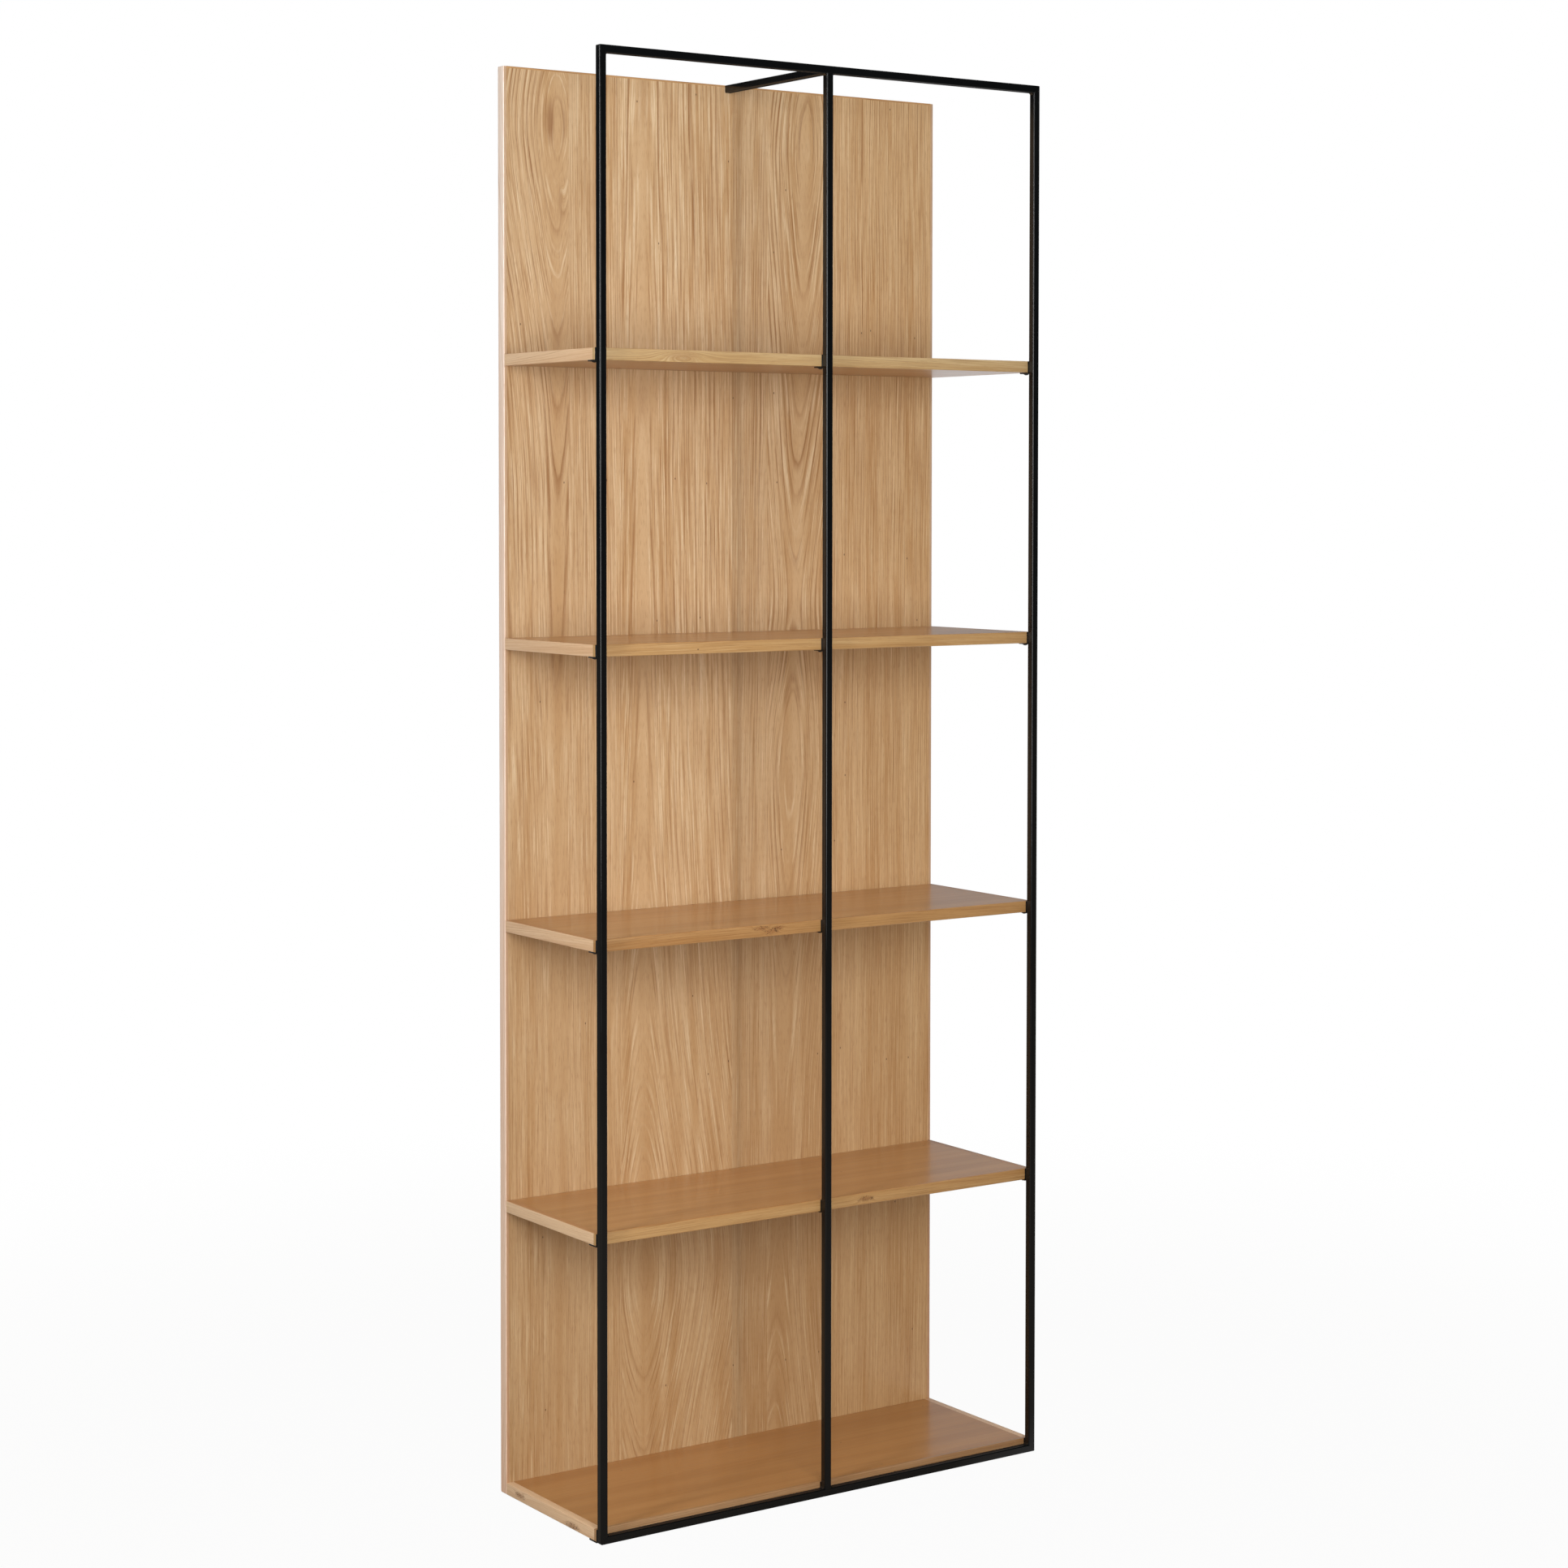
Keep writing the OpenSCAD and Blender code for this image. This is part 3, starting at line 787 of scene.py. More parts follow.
class RepeatTree:
    """A Geometry Nodes tree with named inputs that copies a shape and joins the copies into one mesh."""

    def __init__(self, name: str, **inputs: str) -> None:
        """Starts the tree.

        Args:
            name: the tree's name.
            **inputs: the kind of socket of each named input besides Finish, which every tree has.
        """
        self.tree = bpy.data.node_groups.new(name, "GeometryNodeTree")
        self.add = partial(add_node, self.tree)
        for label, kind in {**inputs, "Finish": "Material"}.items():
            self.tree.interface.new_socket(label, in_out="INPUT", socket_type="NodeSocket" + kind)
        self.tree.interface.new_socket("Geometry", in_out="OUTPUT", socket_type="NodeSocketGeometry")
        self.given = self.add("NodeGroupInput")

    def copy(self, points: Socket, item: Socket, turn: Socket) -> None:
        """Ends the tree with the item's copies, joined and with their finish.

        Args:
            points: where the copies go.
            item: what is copied.
            turn: the copies' rotation in radians.
        """
        spin = self.add("FunctionNodeEulerToRotation", turn)[0]
        copies = self.add("GeometryNodeInstanceOnPoints",
                          at={"Points": points, "Instance": item, "Rotation": spin})[0]
        joined = self.add("GeometryNodeRealizeInstances", copies)[0]
        dressed = self.add("GeometryNodeSetMaterial", joined, at={"Material": self.given["Finish"]})[0]
        self.add("NodeGroupOutput", dressed)

    def run(self, name: str, finish: Material, helpers: list[Piece], start: Mesh, **inputs) -> Piece:
        """Runs the tree once and keeps its result as a plain mesh.

        Args:
            name: the piece's name.
            finish: its material.
            helpers: objects that the tree copies, which are removed afterwards.
            start: the mesh that the tree starts from.
            **inputs: a value for each other named input.
        Returns:
            The piece, at the origin, with no modifier on it.
        """
        carrier = placed(name + "_carrier", start)
        modifier = carrier.modifiers.new(self.tree.name, "NODES")
        modifier.node_group = self.tree
        sockets = self.tree.interface.items_tree
        names = {socket.name: socket.identifier for socket in sockets if socket.in_out == "INPUT"}
        for key, value in {**inputs, "Finish": finish}.items():
            modifier[names[key]] = value
        return new_piece(name, baked(carrier, helpers, name), finish)


class RowTree(RepeatTree):
    """Sets copies of one item in an even row."""

    def __init__(self) -> None:
        """Builds the tree once."""
        super().__init__("row_of_items", Item="Object", First="Vector", Last="Vector", Count="Int",
                         Turn="Vector")
        given = self.given
        places = self.add("GeometryNodeMeshLine", at={"Count": given["Count"], "Start Location": given["First"],
                                                      "Offset": given["Last"]}, mode="END_POINTS")[0]
        item = self.add("GeometryNodeObjectInfo", at={"Object": given["Item"]},
                        transform_space="ORIGINAL")["Geometry"]
        self.copy(places, item, given["Turn"])

    def build(self, name: str, item: Mesh, first: Vector, last: Vector, count: int, finish: Material,
              turn: Vector = Vector((0, 0, 0))) -> Piece:
        """Makes a row as one plain piece.

        Args:
            name: the piece's name.
            item: the mesh that repeats, about its own origin.
            first, last: the first and the last item's place.
            count: how many there are.
            finish: their material.
            turn: the items' rotation in radians.
        Returns:
            The piece, at the origin.
        """
        model = placed(name + "_item", item)
        return self.run(name, finish, [model], bpy.data.meshes.new(name + "_start"), Item=model, First=first,
                        Last=last if count > 1 else first, Count=count, Turn=turn)


class BeadTree(RepeatTree):
    """Lays short weld beads in corners: a filled corner with a slightly uneven face."""

    SEED = 7.0
    PEBBLE = 1.6 * MM

    def __init__(self) -> None:
        """Builds the tree once. Each carrier point holds the bead's turn as an attribute."""
        super().__init__("weld_beads", Geometry="Geometry", Leg="Float", Length="Float", Ripple="Float")
        add, given = self.add, self.given
        ends = [add("CombineXYZ", 0.0, 0.0, add("Math", given["Length"], half, operation="MULTIPLY")[0])[0]
                for half in (-0.5, 0.5)]
        line = add("GeometryNodeCurvePrimitiveLine", at={"Start": ends[0], "End": ends[1]})[0]
        path = add("GeometryNodeResampleCurve", at={"Curve": line, "Count": 17})[0]
        section = add("GeometryNodeCurvePrimitiveCircle", at={"Resolution": 24, "Radius": given["Leg"]})[0]
        rope = add("GeometryNodeCurveToMesh",
                   at={"Curve": path, "Profile Curve": section, "Fill Caps": True})[0]
        place = add("GeometryNodeInputPosition")[0]
        noise = add("TexNoise", at={"Vector": place, "W": self.SEED, "Scale": 1 / self.PEBBLE, "Detail": 0.0},
                    noise_dimensions="4D")[0]
        swell = add("MapRange", noise, 0.3, 0.7, 0.0, given["Ripple"])[0]
        reach = add("Math", given["Leg"], swell, operation="ADD")[0]
        # each point is drawn in towards the corner, until the two legs' sum is the bead's reach
        parts = add("SeparateXYZ", place)
        sides = [add("Math", parts[axis], 0.0, operation="MAXIMUM")[0] for axis in ("X", "Y")]
        total = add("Math", *sides, operation="ADD")[0]
        total = add("Math", total, 0.1 * MM, operation="MAXIMUM")[0]
        shrink = add("Math", add("Math", reach, total, operation="DIVIDE")[0], 1.0, operation="MINIMUM")[0]
        moved = [add("Math", side, shrink, operation="MULTIPLY")[0] for side in sides]
        spot = add("CombineXYZ", *moved, parts["Z"])[0]
        shaped = add("GeometryNodeSetPosition", at={"Geometry": rope, "Position": spot})[0]
        welded = add("GeometryNodeMergeByDistance", shaped, at={"Distance": 0.02 * MM})[0]
        turn = add("GeometryNodeInputNamedAttribute", at={"Name": "turn"}, data_type="FLOAT_VECTOR")[0]
        self.copy(given["Geometry"], welded, turn)

    def build(self, name: str, corners: list[tuple[Vector, Vector]], leg: float, length: float, ripple: float,
              finish: Material) -> Piece:
        """Makes all beads as one plain piece.

        Args:
            name: the piece's name.
            corners: each bead's middle and its turn in radians.
            leg: how far the bead reaches up each face.
            length: its length.
            ripple: how uneven its face is.
            finish: its material.
        Returns:
            The piece, at the origin.
        """
        points = bpy.data.meshes.new(name + "_places")
        points.from_pydata([place for place, _ in corners], [], [])
        turns = points.attributes.new("turn", "FLOAT_VECTOR", "POINT")
        turns.data.foreach_set("vector", [angle for _, turn in corners for angle in turn])
        return self.run(name, finish, [], points, Leg=leg, Length=length, Ripple=ripple)


def hand_over(piece: Piece, body: str, slot: str, *nodes: str) -> None:
    """Lets a piece ride on its body and stand for its CAD nodes, and reports it.

    Args:
        piece: the piece.
        body: the body that it moves with.
        slot: not used.
        *nodes: the CAD nodes that it replaces.
    """
    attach(piece, body)
    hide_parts(*nodes)
    LOG.info("%s: %d faces, rides on %s", piece.name, len(piece.data.polygons), body)


def dress(node: str, finish: Material) -> None:
    """Gives a CAD node its finish. It keeps its mesh.

    Args:
        node: the node's name.
        finish: its only material.
    """
    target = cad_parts[node]
    target.data.materials.clear()
    target.data.materials.append(finish)
    LOG.info("%s: CAD mesh with %s", node, finish.name)


# ---- the bookcase's sub-assemblies ----


@dataclass
class BackPanel:
    """The veneered panel with a solid lipping down each side and along its top."""

    arris: float = 1.2 * MM
    heel: float = 5 * MM
    heel_facets: int = 6
    # sliced oak under a silk lacquer: leaves of nested points beside leaves of straight lines, painted shade at
    # the foot
    veneer: OakFinish = OakFinish(
        "upright_oak_veneer", Grain.UPRIGHT,
        (Leaf(-410, -316, 0.42, ((0, 125), (900, 124), (1300, 121), (1600, 117), (1800, 110), (1950, 101),
                                 (2060, 94), (2121, 92), (2200, 96))),
         Leaf(-296, -520, 0.75, ((0, 100), (2200, 112))),
         Leaf(-200, -160, 0.36, ((0, 124), (100, 117), (220, 108), (316, 104), (420, 108), (550, 115),
                                 (700, 122), (850, 127), (1100, 131), (1500, 134), (2200, 138))),
         Leaf(8, -330, 0.7, ((0, 120), (2200, 104))),
         Leaf(77, 120, 0.42, ((0, 111), (74, 115), (250, 123), (450, 126), (700, 123), (900, 116), (1032, 112),
                              (1090, 111), (1180, 113), (1300, 118), (1380, 120), (1507, 116), (1612, 111),
                              (1750, 105), (1889, 99), (1983, 95), (2060, 92), (2110, 91), (2200, 94)),
              lean=29),
         Leaf(187, 505, 0.8, ((0, 120), (2200, 131)))),
        shade=((-410, (0.93, 0.93, 0.93)), (-380, PLAIN), (-120, (1.02, 1.02, 1.02)), (-12, PLAIN),
               (6, (0.97, 0.97, 0.97)), (11, (0.8, 0.79, 0.78)), (15, (0.9, 0.89, 0.88)),
               (20, (0.76, 0.75, 0.74)), (26, (0.88, 0.88, 0.88)), (32, (0.96, 0.96, 0.96)), (70, PLAIN),
               (250, (0.99, 0.96, 0.9)), (410, (0.97, 0.92, 0.83))),
        calm=((800, 0.6), (1500, 1.0)),
        knots=(Knot(2121, -328, 42, 9, 1, 0.5, 0.0), Knot(2000, -310, 30, 5, 2, 0.3, 0.0)),
        # painted shade: darker and warmer towards the panel's foot
        painted_foot_shade=(0.85, 0.8, 0.72), seed=3.0)
    # solid oak planed along the grain: pale, with quiet straight lines; painted highlight on the front arris,
    # painted shade at the foot
    edging: OakFinish = OakFinish(
        "oak_edge_lipping", Grain.UPRIGHT_EDGE, (Leaf(100, 60, 0.6, ((0, 80), (1100, 125), (2200, 70))),),
        # the front face toned like the veneer, then a painted highlight along the front arris
        shade=((130, (0.64, 0.51, 0.37)), (132.02, (0.64, 0.51, 0.37)), (132.2, (1.15, 1.17, 1.2)),
               (133, (1.15, 1.17, 1.2)), (133.4, PLAIN), (150, PLAIN)),
        cream="EED5C0", pale="E3C5AC", honey="D9B498", line="BD9372", pore="946C4E", rings=0.4, fibres=0.4,
        # painted shade: darker towards the foot
        tint=(1.12, 1.28, 1.46), painted_foot_shade=(1.0, 0.95, 0.92), seed=9.0)
    # the same strip laid level: a darker honey with close straight lines
    capping: OakFinish = OakFinish(
        "oak_top_lipping", Grain.LENGTHWISE_EDGE, (Leaf(2100, 2120, 0.9, ((-410, 90), (410, 110))),),
        cream="D2A671", pale="C99A66", honey="B98A58", line="8E6038", seed=14.0)

    def build(self) -> None:
        """Dresses the core and makes the three lippings, with one rounded arris running round them."""
        dress("back_panel_core", self.veneer.material())
        edging = self.edging.material()
        low, left_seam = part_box("back_panel_left_lipping")
        right_seam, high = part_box("back_panel_right_lipping")
        top_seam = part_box("back_panel_core")[1]
        east, down = Vector((1, 0, 0)), Vector((0, 0, -1))
        for part, finish, cuts in (
                ("left", edging, ((left_seam, east),)),
                ("right", edging, ((right_seam, -east),)),
                ("top", self.capping.material(), ((left_seam, -east), (right_seam, east), (top_seam, down)))):
            block = rounded_block(low, high, self.arris)
            for point, outward in cuts:
                keep_side(block, point, outward)
            if part != "top":
                self._round_heel(block, low, high)
            node, name = f"back_panel_{part}_lipping", f"back_panel_{part}_edge"
            hand_over(new_piece(name, finished(block, name), finish), CARCASE, "oak_panel_lipping", node)

    def _round_heel(self, block: Block, low: Vector, high: Vector) -> None:
        """Rounds the lower back edge by cutting it in facets that touch the rounding.

        Args:
            block: the block, which is changed.
            low, high: its two opposite corners.
        """
        centre = Vector((0, high.y - self.heel, low.z + self.heel))
        for i in range(self.heel_facets):
            angle = (i + 0.5) / self.heel_facets * QUARTER
            outward = Vector((0, math.sin(angle), -math.cos(angle)))
            keep_side(block, centre + outward * self.heel, outward)


@dataclass
class Board:
    """A shelf or the base board: veneered core, front lipping and two end lippings."""

    prefix: str
    body: str
    pegs: str
    seed: float
    level: float
    # the front lipping's tone: partly the board's own colour, partly painted shade that darkens the lower
    # boards
    tone: Tone
    knots: tuple[Knot, ...] = ()
    top_tone: Tone = PLAIN
    end_knots: tuple[Knot, ...] = ()
    arris: float = 0.8 * MM
    peg_hole_radius: float = 3 * MM
    peg_hole_depth: float = 9 * MM
    drill_lead: float = 2 * MM

    def finishes(self) -> tuple[OakFinish, OakFinish, OakFinish]:
        """Sets out the looks of this board, each by its own seed.

        Returns:
            The veneer's, the front lipping's and the end lippings' finish.
        """
        # sliced oak laid lengthwise under lacquer: an even warm brown with a soft sheen
        veneer = OakFinish(
            self.prefix + "_oak_veneer", Grain.LENGTHWISE,
            (Leaf(-150, -190 + 9 * self.seed, 0.6, ((-410, 90), (410, 104))),
             Leaf(10 * math.sin(self.seed), 180, 0.55, ((-410, 104), (410, 92)))),
            cream="C69662", pale="BC8A55", honey="B17E4A", line="946435", pore="6E4420", rings=0.35, fibres=0.3,
            tint=self.top_tone, roughness=0.34, lacquer=0.4, specks=0.2, seed=self.seed)
        # solid oak planed along the grain: straight lines from end to end, a little paler than the veneer
        front = OakFinish(
            self.prefix + "_oak_front_lipping", Grain.LENGTHWISE_EDGE,
            (Leaf(-200, self.level + 30, 0.8, ((-410, 36), (0, 39), (410, 35))),),
            shade=self._veneered_top(tuple(v / t for v, t in zip((0.86, 0.77, 0.72), self.tone))),
            cream="D8B07A", pale="C99C64", honey="BD8C53", line="8E5F34", rings=0.45, fibres=0.45, ring=2.0,
            # the board's tone, partly its own colour and partly painted shade that darkens the lower boards
            tint=self.tone, roughness=0.38, lacquer=0.3, knots=self.knots, seed=self.seed + 2)
        # solid oak strips along the cut ends: the palest wood, with slightly wavering lines
        ends = OakFinish(
            self.prefix + "_oak_end_lipping", Grain.CROSSWISE_EDGE,
            (Leaf(-200, self.level - 24, 0.8, ((-150, 30), (150, 40))),),
            shade=self._veneered_top((0.63, 0.46, 0.3)),
            cream="F0D3B2", pale="E7C49C", honey="DDB58C", line="BE9066", rings=0.4, fibres=0.4, ring=2.6,
            waver=1.0, roughness=0.4, lacquer=0.25, knots=self.end_knots, seed=self.seed + 5)
        return veneer, front, ends

    def _veneered_top(self, tone: Tone) -> Tones:
        """Tones a lipping by height, so that its top is as dark as the veneer beside it.

        Args:
            tone: the top's tone.
        Returns:
            Each height in millimetres and its tone.
        """
        low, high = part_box(self.prefix + "_core")
        top = self.level + (high.z - low.z) / MM
        return (self.level - 2, PLAIN), (top - 0.5, PLAIN), (top - 0.1, tone), (top + 2, tone)

    def build(self) -> None:
        """Dresses the core and cuts the lippings from one rounded board, so that its arrises run through."""
        veneer, front, ends = [finish.material() for finish in self.finishes()]
        dress(self.prefix + "_core", veneer)
        front_node, end_node = self.prefix + "_front_lipping", self.prefix + "_end_lippings"
        low, front_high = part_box(front_node)
        high = Vector((front_high.x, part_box(end_node)[1].y, front_high.z))
        backward = Vector((0, 1, 0))
        block = rounded_block(low, high, self.arris)
        keep_side(block, front_high, backward)
        strip = new_piece(self.prefix + "_front_edge", finished(block, front_node), front)
        hand_over(strip, self.body, "oak_shelf_lipping", front_node)
        both = bpy.data.meshes.new(end_node)
        joined = bmesh.new()
        for seam, outward in zip(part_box(self.prefix + "_core"), (Vector((1, 0, 0)), Vector((-1, 0, 0)))):
            block = rounded_block(low, high, self.arris)
            keep_side(block, seam, outward)
            keep_side(block, front_high, -backward)
            block.to_mesh(both)
            block.free()
            joined.from_mesh(both)
        mesh = carved(finished(joined, end_node), self._peg_holes(low.z), end_node)
        hand_over(new_piece(self.prefix + "_end_edges", mesh, ends), self.body, "oak_shelf_lipping", end_node)

    def _peg_holes(self, bottom: float) -> list[Mesh]:
        """Makes the drills for the pegs or screws above the two outer brackets.

        Args:
            bottom: the height of the board's underside.
        Returns:
            The drills.
        """
        first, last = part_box(self.pegs)
        reach = (last.y - first.y) / 2
        start, end = bottom - self.drill_lead, bottom + self.peg_hole_depth
        drills = []
        for x in (first.x + reach, last.x - reach):
            drill = prism(32, self.peg_hole_radius, start, end, "drill")
            drill.transform(Matrix.Translation((x, first.y + reach, 0)))
            drills.append(drill)
        return drills


@dataclass
class FrontFrame:
    """The welded front frame with its tie bar."""

    leg: float = 2.5 * MM
    ripple: float = 0.35 * MM
    inset: float = 2 * MM
    tubes: tuple[str, ...] = ("frame_left_post", "frame_centre_post", "frame_right_post", "frame_top_rail",
                              "frame_bottom_rail", "top_tie_bar", "tie_bar_end_plug", "base_board_brackets")

    def build(self, beads: BeadTree, coat: Material) -> None:
        """Dresses the tubes and lays the weld beads in the corners.

        Args:
            beads: the tree that makes them.
            coat: the powder coat.
        """
        for node in self.tubes:
            dress(node, coat)
        low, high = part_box("frame_left_post")
        length = high.y - low.y - 2 * self.inset
        welds = beads.build("frame_weld_beads", self._corners(), self.leg, length, self.ripple, coat)
        hand_over(welds, CARCASE, "frame_powder_coat", "frame_weld_fillets")

    def _corners(self) -> list[tuple[Vector, Vector]]:
        """Finds the corners that are welded, from the tubes' own faces.

        Returns:
            The middle and the turn of each bead.
        """
        post_low, post_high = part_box("frame_left_post")
        centre_low, centre_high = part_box("frame_centre_post")
        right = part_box("frame_right_post")[0].x
        floor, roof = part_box("frame_bottom_rail")[1].z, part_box("frame_top_rail")[0].z
        middle = (post_low.y + post_high.y) / 2
        places = []
        for x, outwards in ((post_high.x, 1), (centre_low.x, -1), (centre_high.x, 1), (right, -1)):
            for z, up in ((floor, 1), (roof, -1)):
                places.append((Vector((x, middle, z)), self._facing(outwards, up)))
        bar_low, bar_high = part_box("top_tie_bar")
        side = (roof + bar_high.z) / 2
        for x, turn in ((bar_high.x, 0), (bar_low.x, QUARTER)):
            places.append((Vector((x, post_high.y, side)), Vector((0, 0, turn))))
        return places

    def _facing(self, outwards: int, up: int) -> Vector:
        """Turns a bead to lie through the frame's depth, in one of the four corners of an opening.

        Args:
            outwards: 1 when its leg goes to the right, and -1 when it goes to the left.
            up: 1 when its other leg goes up, and -1 when it goes down.
        Returns:
            The turn in radians.
        """
        turns = {(1, 1): 0, (-1, 1): -1, (-1, -1): 2, (1, -1): 1}
        turn = Matrix.Rotation(turns[outwards, up] * QUARTER, 3, "Y")
        return (turn @ Matrix.Rotation(QUARTER, 3, "X")).to_euler()


@dataclass
class ShelfBrackets:
    """The folded plates under one shelf, with their studs and the concealed pins behind."""

    number: int
    plate: float = 2 * MM
    edge: float = 0.3 * MM
    peg_radius: float = 2.5 * MM
    peg_height: float = 8 * MM
    head_radius: float = 4 * MM
    rim: float = 0.6 * MM
    dome: float = 1.6 * MM
    socket: float = 1.4 * MM
    socket_depth: float = 1.2 * MM
    pin_radius: float = 3 * MM
    chamfer: float = 0.6 * MM

    def build(self, rows: RowTree, coat: Material, oxide: Material, zinc: Material) -> None:
        """Makes the three plates, the three studs and the two pins.

        Args:
            rows: the tree that sets them in a row.
            coat, oxide, zinc: the plates', the studs' and the pins' finish.
        """
        prefix = f"shelf_{self.number}"
        low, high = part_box(prefix + "_brackets")
        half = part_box("frame_centre_post")[1].x
        first, last = Vector((low.x + half, low.y, low.z)), Vector((high.x - half, low.y, low.z))
        plates = rows.build(prefix + "_bracket_plates", self._plate(high - low, half), first, last, 3, coat)
        hand_over(plates, CARCASE, "frame_powder_coat", prefix + "_brackets")
        stud_low, stud_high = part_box(prefix + "_bracket_studs")
        first.y = last.y = (stud_low.y + stud_high.y) / 2
        first.z = last.z = low.z + self.plate
        studs = rows.build(prefix + "_studs", self._stud(), first, last, 3, oxide)
        hand_over(studs, CARCASE, "stud_black_oxide", prefix + "_bracket_studs")
        low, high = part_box(prefix + "_rear_pins")
        first, last = [Vector((x, low.y, (low.z + high.z) / 2)) for x in (low.x + self.pin_radius,
                                                                         high.x - self.pin_radius)]
        turn = Vector((-QUARTER, 0, 0))
        pins = rows.build(prefix + "_pins", self._pin(high.y - low.y), first, last, 2, zinc, turn)
        hand_over(pins, CARCASE, "zinc_fixings", prefix + "_rear_pins")

    def _plate(self, size: Vector, half: float) -> Mesh:
        """Makes one folded plate, with a tab to the back and a leg up the post.

        Args:
            size: its depth in Y and its height in Z.
            half: half its width.
        Returns:
            The mesh, about the plate's lower front middle.
        """
        thick = self.plate
        bend = [(rise, thick - run) for run, rise in quarter_arc(thick)]
        outline = [(0.0, size.z), *bend, (size.y, 0.0), (size.y, thick), (thick, thick), (thick, size.z)]
        block = bmesh.new()
        face = block.faces.new([block.verts.new((-half, y, z)) for y, z in outline])
        swept = bmesh.ops.extrude_face_region(block, geom=[face])
        moved = [v for v in swept["geom"] if isinstance(v, bmesh.types.BMVert)]
        bmesh.ops.translate(block, verts=moved, vec=(2 * half, 0, 0))
        bmesh.ops.recalc_face_normals(block, faces=list(block.faces))
        sharp = [e for e in block.edges if e.is_manifold and e.calc_face_angle(0) > math.radians(60)
                 and not self._is_inner(e)]
        bmesh.ops.bevel(block, geom=sharp, offset=self.edge, segments=2, profile=0.5, affect="EDGES")
        return finished(block, "bracket_plate")

    def _is_inner(self, edge: bmesh.types.BMEdge) -> bool:
        """Whether an edge is the fold's inner corner, which stays sharp."""
        return all(abs(place - self.plate) < 0.01 * MM for v in edge.verts for place in v.co.yz)

    def _stud(self) -> Mesh:
        """Makes a stud: a peg above the tab, and a button head with a hex socket below it.

        Returns:
            The mesh, about the top of the tab.
        """
        under = -self.plate
        bottom = under - self.rim - self.dome
        sphere = (self.head_radius ** 2 + self.dome ** 2) / (2 * self.dome)
        widest = math.asin(self.head_radius / sphere)
        cap = [(sphere * math.sin(widest * i / 7), bottom + sphere - sphere * math.cos(widest * i / 7))
               for i in range(8)]
        outline = cap + [(self.head_radius, under), (self.peg_radius, under),
                         (self.peg_radius, self.peg_height - self.chamfer),
                         (self.peg_radius - self.chamfer, self.peg_height), (0.0, self.peg_height)]
        hexagon = prism(6, self.socket, bottom - self.plate, bottom + self.socket_depth, "hex_key")
        return carved(turned(outline, "stud"), [hexagon], "stud")

    def _pin(self, length: float) -> Mesh:
        """A dowel pin along Z from its front end, with chamfered ends."""
        r, c = self.pin_radius, self.chamfer
        return turned([(0, 0), (r - c, 0), (r, c), (r, length - c), (r - c, length), (0, length)], "pin")


@dataclass
class Fixings:
    """Screws with a cross recess, the hidden dowels and the glides under the panel."""

    recess_arm: float = 0.55 * MM
    recess_depth: float = 1.5 * MM
    stout: float = 2.5 * MM
    slim: float = 2 * MM
    pitch: float = 1.8 * MM
    glide_edge: float = 0.5 * MM

    def build(self, rows: RowTree, zinc: Material, nylon: Material, beech: Material) -> None:
        """Makes the screws and the glides, and dresses the dowels.

        Args:
            rows: the tree that sets them in a row.
            zinc, nylon, beech: the screws', the glides' and the dowels' finish.
        """
        dress("base_panel_dowels", beech)
        slim, stout = partial(self._screw, self.slim), partial(self._screw, self.stout)
        for node, name, count, shape, finish, slot, lying in (
                ("base_panel_screws", "base_panel_screw_row", 4, stout, zinc, "zinc_fixings", True),
                ("tie_bar_screw", "tie_bar_fixing_screw", 1, slim, zinc, "zinc_fixings", True),
                ("base_bracket_screws", "base_bracket_screw_row", 3, slim, zinc, "zinc_fixings", False),
                ("rear_floor_glides", "rear_glides", 3, self._glide, nylon, "nylon_glide", False)):
            low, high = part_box(node)
            size, middle = high - low, (low + high) / 2
            radius, length = (size.z, size.y) if lying else (size.y, size.z)
            radius /= 2
            first = Vector((low.x + radius, high.y, middle.z) if lying else (low.x + radius, middle.y, low.z))
            last = Vector((high.x - radius, first.y, first.z))
            turn = Vector((QUARTER if lying else 0, 0, 0))
            row = rows.build(name, shape(radius, length), first, last, count, finish, turn)
            hand_over(row, CARCASE, slot, node)

    def _screw(self, shank: float, head: float, length: float) -> Mesh:
        """Makes a countersunk screw with a cross recess and a ridged thread.

        Args:
            shank: the thread's radius.
            head: the head's radius.
            length: the screw's whole length.
        Returns:
            The mesh, along Z from the head's face.
        """
        neck = (head - shank) * 1.1
        outline = [(0.0, 0.0), (head, 0.0), (shank, neck)]
        height = neck + self.pitch
        while height < length - 3 * self.pitch:
            outline += [(shank, height), (shank * 0.72, height + self.pitch * 0.5)]
            height += self.pitch
        outline += [(shank * 0.7, length - 2 * self.pitch), (0.0, length)]
        arms = []
        for turn in (0, QUARTER):
            arm = bmesh.new()
            size = (head * 1.1, 2 * self.recess_arm, 2 * self.recess_depth, 1.0)
            bmesh.ops.create_cube(arm, size=1.0, matrix=Matrix.Rotation(turn, 4, "Z") @ Matrix.Diagonal(size))
            arms.append(finished(arm, "cross_arm"))
        return carved(turned(outline, "screw", 24), arms, "screw")

    def _glide(self, radius: float, height: float) -> Mesh:
        """A flat disc with a rounded lower edge."""
        arc = [(radius - self.glide_edge + run, rise) for run, rise in quarter_arc(self.glide_edge)]
        return turned([(0, 0), *arc, (radius, height), (0, height)], "glide")


# ---- studio ----


@dataclass(frozen=True)
class SoftBox:
    """A soft light of a given width and height that looks at the bookcase's middle."""

    name: str
    place: tuple[float, float, float]
    width: float
    height: float
    watts: float

    def build(self, aim: Vector) -> None:
        """Adds the lamp.

        Args:
            aim: the point that it faces.
        """
        lamp = bpy.data.lights.new(self.name, "AREA")
        lamp.shape, lamp.size, lamp.size_y, lamp.energy = "RECTANGLE", self.width, self.height, self.watts
        made = placed(self.name, lamp)
        made.location = self.place
        made.rotation_euler = (Vector(self.place) - aim).to_track_quat("Z", "Y").to_euler()
        made.visible_camera = False


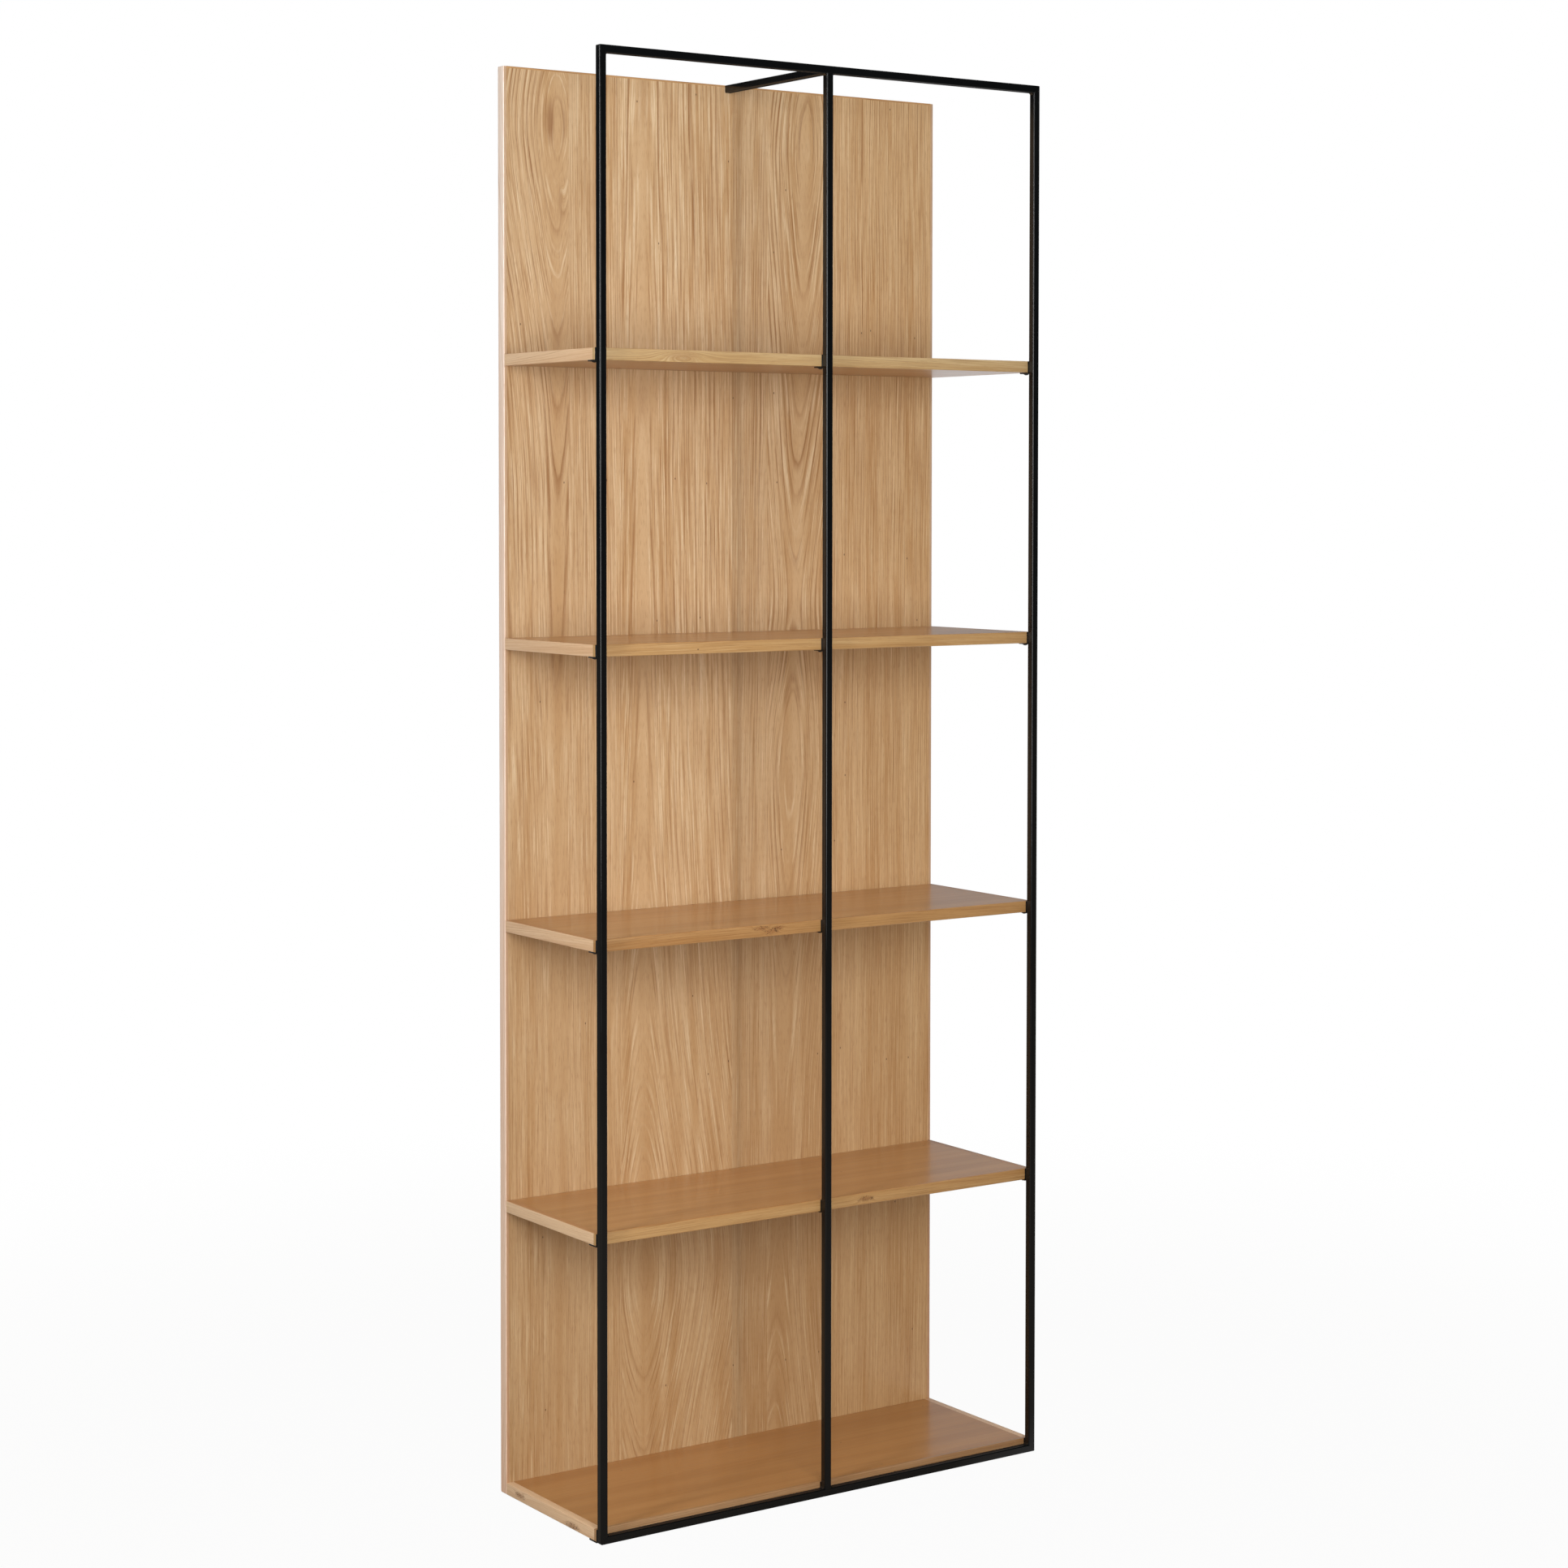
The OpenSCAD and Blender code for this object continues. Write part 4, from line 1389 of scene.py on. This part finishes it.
@dataclass
class Studio:
    """A pale floor, plain soft lamps and the camera."""

    lens: float = 72.37
    place: tuple[float, float, float] = (-2.790, -4.084, 1.543)
    yaw: float = 34.514
    pitch: float = 2.08
    roll: float = 0.055
    drop: float = -0.1095
    floor_radius: float = 30.0
    floor_near: float = 1.0
    floor_far: float = 3.0
    floor_colour: str = "988F84"
    ambient: float = 0.46
    near_gloss: float = 0.05
    far_gloss: float = 0.4
    far_side: tuple[float, float, float] = (0.75, 0.66, 0.0)
    lamps: tuple[SoftBox, ...] = (
        SoftBox("left_softbox", (-3.3, -1.02, 2.3), 0.5, 1.6, 51.0),
        SoftBox("front_softbox", (-1.1, -3.0, 1.55), 1.8, 1.8, 76.0),
    )

    def build(self) -> None:
        """Makes the camera first, then the world, the floor and the lamps."""
        self._camera()
        self._world()
        self._floor()
        low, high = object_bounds()
        for lamp in self.lamps:
            lamp.build((low + high) / 2)

    def _camera(self) -> None:
        """A long lens a little to the left and nearly level; the frame's fall keeps uprights upright."""
        data = bpy.data.cameras.new("camera")
        data.lens, data.sensor_width, data.shift_y = self.lens, 36.0, self.drop
        camera = placed("camera", data)
        view = Matrix.Translation(self.place)
        for angle, axis in ((-self.yaw, "Z"), (90 - self.pitch, "X"), (self.roll, "Z")):
            view = view @ Matrix.Rotation(math.radians(angle), 4, axis)
        camera.matrix_world = view
        bpy.context.scene.camera = camera

    def _world(self) -> None:
        """An even pale room that lights at the ambient level and shows white to the eye."""
        world = bpy.data.worlds.new("studio")
        add = wiring(world)
        rays = add("LightPath")
        seen = add("Math", rays["Is Glossy Ray"], rays["Is Transmission Ray"], operation="MAXIMUM")[0]
        behind = self._behind(add, add("TexCoord")["Generated"])
        gloss = add("MapRange", behind, 0.0, 1.0, self.near_gloss, self.far_gloss)[0]
        level = add("Mix", seen, at={2: self.ambient, 3: gloss})[0]
        level = add("Math", level, rays["Is Camera Ray"], operation="MAXIMUM")[0]
        add("OutputWorld", add("Background", linear("FFFFFF"), level)[0])
        bpy.context.scene.world = world

    def _behind(self, add: Adder, way: Socket) -> Socket:
        """1 for directions towards the bright far side of the room and 0 towards its dark near side."""
        facing = add("VectorMath", way, self.far_side, operation="DOT_PRODUCT")["Value"]
        return add("MapRange", facing, 0.2, 0.7, interpolation_type="SMOOTHSTEP")[0]

    def _floor(self) -> None:
        """A pale matt floor that keeps the shadow near the bookcase and fades to white further off."""
        block = bmesh.new()
        bmesh.ops.create_circle(block, cap_ends=True, segments=96, radius=self.floor_radius)
        mesh = bpy.data.meshes.new("floor")
        block.to_mesh(mesh)
        block.free()
        made = bpy.data.materials.new("pale_floor")
        add = wiring(made)
        rays = add("LightPath")
        place = add("TexCoord")["Object"]
        behind = self._behind(add, add("VectorMath", place, operation="NORMALIZE")[0])
        seen = add("Math", rays["Is Glossy Ray"], behind, operation="MULTIPLY")[0]
        for kind in ("Is Camera Ray", "Is Transmission Ray"):
            seen = add("Math", seen, rays[kind], operation="MAXIMUM")[0]
        away = add("VectorMath", place, operation="LENGTH")["Value"]
        white = add("MapRange", away, self.floor_near, self.floor_far, 0.96, 1.0,
                    interpolation_type="SMOOTHSTEP")[0]
        share = add("Math", seen, white, operation="MULTIPLY")[0]
        matt = add("BsdfDiffuse", linear(self.floor_colour))[0]
        glow = add("Emission", linear("FFFFFF"), 1.0)[0]
        add("OutputMaterial", add("MixShader", share, matt, glow)[0])
        new_piece("floor", mesh, made)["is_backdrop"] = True


def main() -> None:
    """Builds the studio and every sub-assembly in order."""
    logging.basicConfig(level=logging.INFO, format="%(message)s")
    bpy.context.scene.view_settings.view_transform = "Standard"
    Studio().build()
    rows, beads = RowTree(), BeadTree()
    BackPanel().build()
    # the base board's front tone is partly its own colour and partly painted shade, darker than the shelves
    # above
    Board("base_board", CARCASE, "base_bracket_screws", 1.7, 11, (0.68, 0.67, 0.8), top_tone=(0.9, 0.85, 0.76),
          end_knots=(Knot(90, 11, 16, 5, 6), Knot(-66, 7, 22, 6, -7)), peg_hole_radius=2.05 * MM,
          peg_hole_depth=12 * MM).build()
    # each shelf front's tone, from the top down: partly the board's own colour, partly painted shade that
    # darkens the lower fronts
    tones_and_shade = ((0.94, 1.14, 1.45), (0.88, 0.95, 1.05), (0.73, 0.68, 0.63), (0.8, 0.8, 0.8))
    front_knots = ((Knot(-258, 1753, 40, 9, 9, 0.3, 0.1),), (),
                   (Knot(-98, 883, 13, 5, 6), Knot(-116, 889, 16, 4, -5), Knot(-84, 888, 12, 3, 3, 0.6)),
                   (Knot(81, 451, 16, 5, 5, 0.6, 0.7),))
    for number, (tone, knots) in enumerate(zip(tones_and_shade, front_knots), start=1):
        shelf = f"shelf_{number}"
        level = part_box(shelf + "_core")[0].z / MM
        Board(shelf, shelf, shelf + "_bracket_studs", 2.3 * number, level, tone, knots).build()
    coat = CoatedSteel().material()
    FrontFrame().build(beads, coat)
    # oxide leaves the studs nearly black with a soft grey gloss, and zinc leaves the screws and pins bright
    oxide = PlatedSteel("oxide_blackened_steel", "151517", "232326", 0.38, 0.4).material()
    zinc = PlatedSteel("zinc_plated_steel", "B9B9B4", "CFCFC9", 0.3).material()
    for number in range(1, SHELVES + 1):
        ShelfBrackets(number).build(rows, coat, oxide, zinc)
    # bare beech: an even pinkish wood with hardly a line, and no gloss
    beech = OakFinish("turned_beech", Grain.CROSSWISE_EDGE, (Leaf(-400, 60, 1.0, ((0, 60), (200, 60))),),
                      pale="E2BE93", honey="D3AA7C", line="BC8F62", rings=0.3, fibres=0.3, lacquer=0.0,
                      roughness=0.6).material()
    Fixings().build(rows, zinc, MouldedNylon().material(), beech)


if __name__ == "__main__":
    main()
